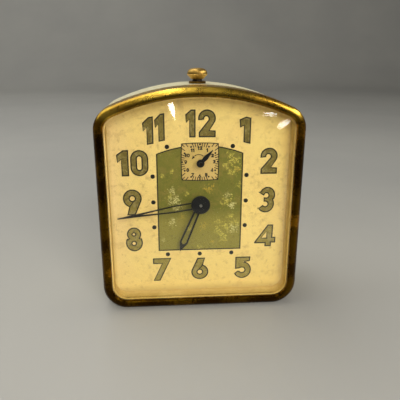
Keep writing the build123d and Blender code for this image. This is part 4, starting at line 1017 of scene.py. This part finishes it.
def glass_outline(inset):
    """Evenly stepped points round the clock's front outline, drawn in by inset."""
    half = glass_half_width - inset
    top, low = glass_top_edge - inset, glass_low_edge + inset
    arch = glass_arch - inset
    low_round, top_round = glass_low_corner - inset, glass_top_corner - inset
    arch_centre = top - arch
    corner_x = half - top_round
    corner_y = arch_centre + math.sqrt((arch - top_round) ** 2 - corner_x**2)
    turn = math.degrees(math.atan2(corner_y - arch_centre, corner_x))
    points = arc((half - low_round, low + low_round), (low_round, low_round), -90.0, 0.0, corner_steps)
    points += straight(points[-1], (half, corner_y), side_steps)
    points += arc((corner_x, corner_y), (top_round, top_round), 0.0, turn, corner_steps)[1:]
    points += arc((0.0, arch_centre), (arch, arch), turn, 180.0 - turn, arch_steps)[1:]
    points += arc((-corner_x, corner_y), (top_round, top_round), 180.0 - turn, 180.0, corner_steps)[1:]
    points += straight(points[-1], (-half, low + low_round), side_steps)
    points += arc((low_round - half, low + low_round), (low_round, low_round), 180.0, 270.0, corner_steps)[1:]
    points += straight(points[-1], points[0], side_steps)[:-1]
    return points


def straight(start, end, steps):
    """Points along a straight run, without its first."""
    return [(start[0] + (end[0] - start[0]) * k / steps, start[1] + (end[1] - start[1]) * k / steps)
            for k in range(1, steps + 1)]


def pillow_rings(inset, base):
    """The rings of one face of the dome, from its steep foot to near its flat middle."""
    foot = glass_outline(inset)
    shares = []
    for k in range(dome_rings):
        turn = math.radians(dome_turn * k / (dome_rings - 1))
        shares.append((math.cos(turn) ** (2 / glass_fullness), math.sin(turn) ** 2))
    shares += [(wide, 1.0) for wide in middle_rings]
    return [[(x * wide, up * wide, base + glass_rise * rise) for x, up in foot] for wide, rise in shares]


def make_glass():
    """The domed crystal as one closed shell with a flange under the bezel's lip."""
    seat = glass_lip - glass_thick
    edge = glass_outline(glass_flange)
    outer = [[(x, up, seat) for x, up in edge], [(x, up, glass_lip) for x, up in edge]]
    outer += pillow_rings(glass_dome_inset, glass_lip)
    inner = pillow_rings(glass_hollow_inset, seat)
    mesh = bmesh.new()

    def layer(points):
        return [mesh.verts.new(on_dial(*point)) for point in points]

    def skirt(first, second):
        count = len(first)
        for k in range(count):
            after = (k + 1) % count
            mesh.faces.new((first[k], first[after], second[after], second[k]))

    def cap(last, height):
        top = mesh.verts.new(on_dial(0.0, 0.0, height))
        for k in range(len(last)):
            mesh.faces.new((last[k], last[(k + 1) % len(last)], top))

    outer_layers = [layer(points) for points in outer]
    inner_layers = [layer(points) for points in inner]
    for layers in (outer_layers, inner_layers):
        for first, second in zip(layers, layers[1:]):
            skirt(first, second)
    skirt(outer_layers[0], inner_layers[0])
    cap(outer_layers[-1], glass_lip + glass_rise)
    cap(inner_layers[-1], seat + glass_rise)
    bmesh.ops.recalc_face_normals(mesh, faces=mesh.faces)
    piece = new_piece("domed_glass", mesh, clear_glass, smooth=True)
    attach(piece, "frame")
    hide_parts("crystal")


make_glass()


# Table, backdrop, lamps and camera

def make_stage():
    """A pale table that curves up into a plain backdrop."""
    profile = [(TABLE_FRONT, 0.0), (TABLE_BACK, 0.0)]
    profile += arc((TABLE_BACK, BACKDROP_BEND), (BACKDROP_BEND, BACKDROP_BEND), -90.0, 0.0, 18)[1:]
    profile.append((TABLE_BACK + BACKDROP_BEND, BACKDROP_TOP))
    mesh = bmesh.new()
    rows = [[mesh.verts.new((x, y, z)) for x in (-TABLE_HALF_WIDTH, TABLE_HALF_WIDTH)] for y, z in profile]
    for first, second in zip(rows, rows[1:]):
        mesh.faces.new((first[0], first[1], second[1], second[0]))
    table = new_piece("table_and_backdrop", mesh, floor_grey, smooth=True)


def make_lamp(name, place, target, size, radiance, colour=(1.0, 1.0, 1.0), mirrored=True):
    """A soft rectangular lamp that points at a target, as bright as its radiance says."""
    data = bpy.data.lights.new(name, "AREA")
    data.shape = "RECTANGLE"
    data.size, data.size_y = size
    data.energy = radiance * math.pi * size[0] * size[1]
    data.color = colour
    lamp = bpy.data.objects.new(name, data)
    lamp.location = place
    lamp.rotation_euler = (Vector(target) - Vector(place)).to_track_quat("-Z", "Y").to_euler()
    lamp.visible_glossy = mirrored
    lamp.visible_transmission = mirrored
    bpy.context.scene.collection.objects.link(lamp)
    return lamp


# Lamps that light the clock and leave no image: name, place, target, size, radiance, colour
CLOCK_MIDDLE = (0.0, -0.02, 0.06)
HIDDEN_LAMPS = (
    ("key", (0.28, -1.25, 0.62), CLOCK_MIDDLE, (0.9, 0.9), 7.8, (1.0, 0.97, 0.93)),
    ("fill", (-0.9, -1.1, 0.6), CLOCK_MIDDLE, (0.9, 0.9), 1.2, (1.0, 1.0, 1.0)),
    ("top", (0.0, 0.1, 0.95), (0.0, 0.1, 0.0), (0.6, 0.6), 1.5, (1.0, 1.0, 1.0)),
)

# Lamps that the glass shows: name, ends as heading and height in degrees, width, radiance
GLASS_LAMPS = (
    ("side_window", (31.0, 20.0), (110.0, 34.0), 0.30, 7.0),
    ("high_tube", (34.0, 38.0), (58.0, 46.0), 0.05, 13.0),
)
LAMP_DISTANCE = 1.2
LAMP_AIM = Vector((0.04, -0.03, 0.1))


def only_image(lamp):
    """Makes a lamp an ellipse that is mirrored and gives no diffuse light."""
    lamp.data.shape = "ELLIPSE"
    lamp.visible_diffuse = False


def make_lamps():
    """The lamps that leave no image, a panel overhead, and the lamps that the glass shows."""
    for lamp in HIDDEN_LAMPS:
        make_lamp(*lamp, mirrored=False)
    panel = make_lamp("overhead_panel", (-1.02, 0.42, 1.0), (-1.02, 0.42, 0.0), (1.95, 1.3), 1.5)
    tube = make_lamp("ceiling_tube", (-0.11, -0.65, 0.72), (-0.11, -0.65, 0.0), (0.03, 2.5), 14.0)
    for lamp in (panel, tube):
        lamp.rotation_euler = (0.0, 0.0, 0.0)
    only_image(tube)
    for strip in GLASS_LAMPS:
        only_image(place_strip(*strip))


def toward(heading, height):
    """The place of a lamp at an angle to the right and a height, seen from the clock's upper right."""
    heading, height = math.radians(heading), math.radians(height)
    flat = LAMP_DISTANCE * math.cos(height)
    away = (flat * math.sin(heading), -flat * math.cos(heading), LAMP_DISTANCE * math.sin(height))
    return LAMP_AIM + Vector(away)


def place_strip(name, near, far, width, radiance):
    """A long lamp between two directions, turned flat towards the clock."""
    start, end = toward(*near), toward(*far)
    along = (end - start).normalized()
    facing = (LAMP_AIM - (start + end) / 2).normalized()
    across = facing.cross(along).normalized()
    back = across.cross(along)
    lamp = make_lamp(name, (start + end) / 2, (0.0, 0.0, 0.0), (width, (end - start).length), radiance)
    turn = Matrix((across, along, back)).transposed()
    lamp.rotation_euler = turn.to_euler()
    return lamp


ROOM_GREY = (0.5, 0.5, 0.5, 1.0)
ROOM_STRENGTH = 0.19


def make_world():
    """A dim even room, seen by everything alike."""
    world = bpy.data.worlds.new("room")
    world.use_nodes = True
    background = world.node_tree.nodes["Background"]
    background.inputs["Color"].default_value = ROOM_GREY
    background.inputs["Strength"].default_value = ROOM_STRENGTH
    bpy.context.scene.world = world


CAMERA_PLACE = (-0.0167, -0.243775, 0.1323)
CAMERA_HEADING = -4.25
CAMERA_TILT = 71.67
CAMERA_ROLL = 0.13
CAMERA_LENS = 41.4
SENSOR_WIDTH = 36.0


def make_camera():
    """The camera at the photograph's angle."""
    data = bpy.data.cameras.new("camera")
    data.lens = CAMERA_LENS
    data.sensor_width = SENSOR_WIDTH
    data.sensor_fit = "HORIZONTAL"
    data.clip_start = 0.01
    camera = bpy.data.objects.new("camera", data)
    camera.matrix_world = (
        Matrix.Translation(CAMERA_PLACE)
        @ Matrix.Rotation(math.radians(CAMERA_HEADING), 4, "Z")
        @ Matrix.Rotation(math.radians(CAMERA_TILT), 4, "X")
        @ Matrix.Rotation(math.radians(CAMERA_ROLL), 4, "Z")
    )
    bpy.context.scene.collection.objects.link(camera)
    bpy.context.scene.camera = camera


make_stage()
make_lamps()
make_world()
make_camera()
bpy.context.scene.view_settings.view_transform = "Standard"
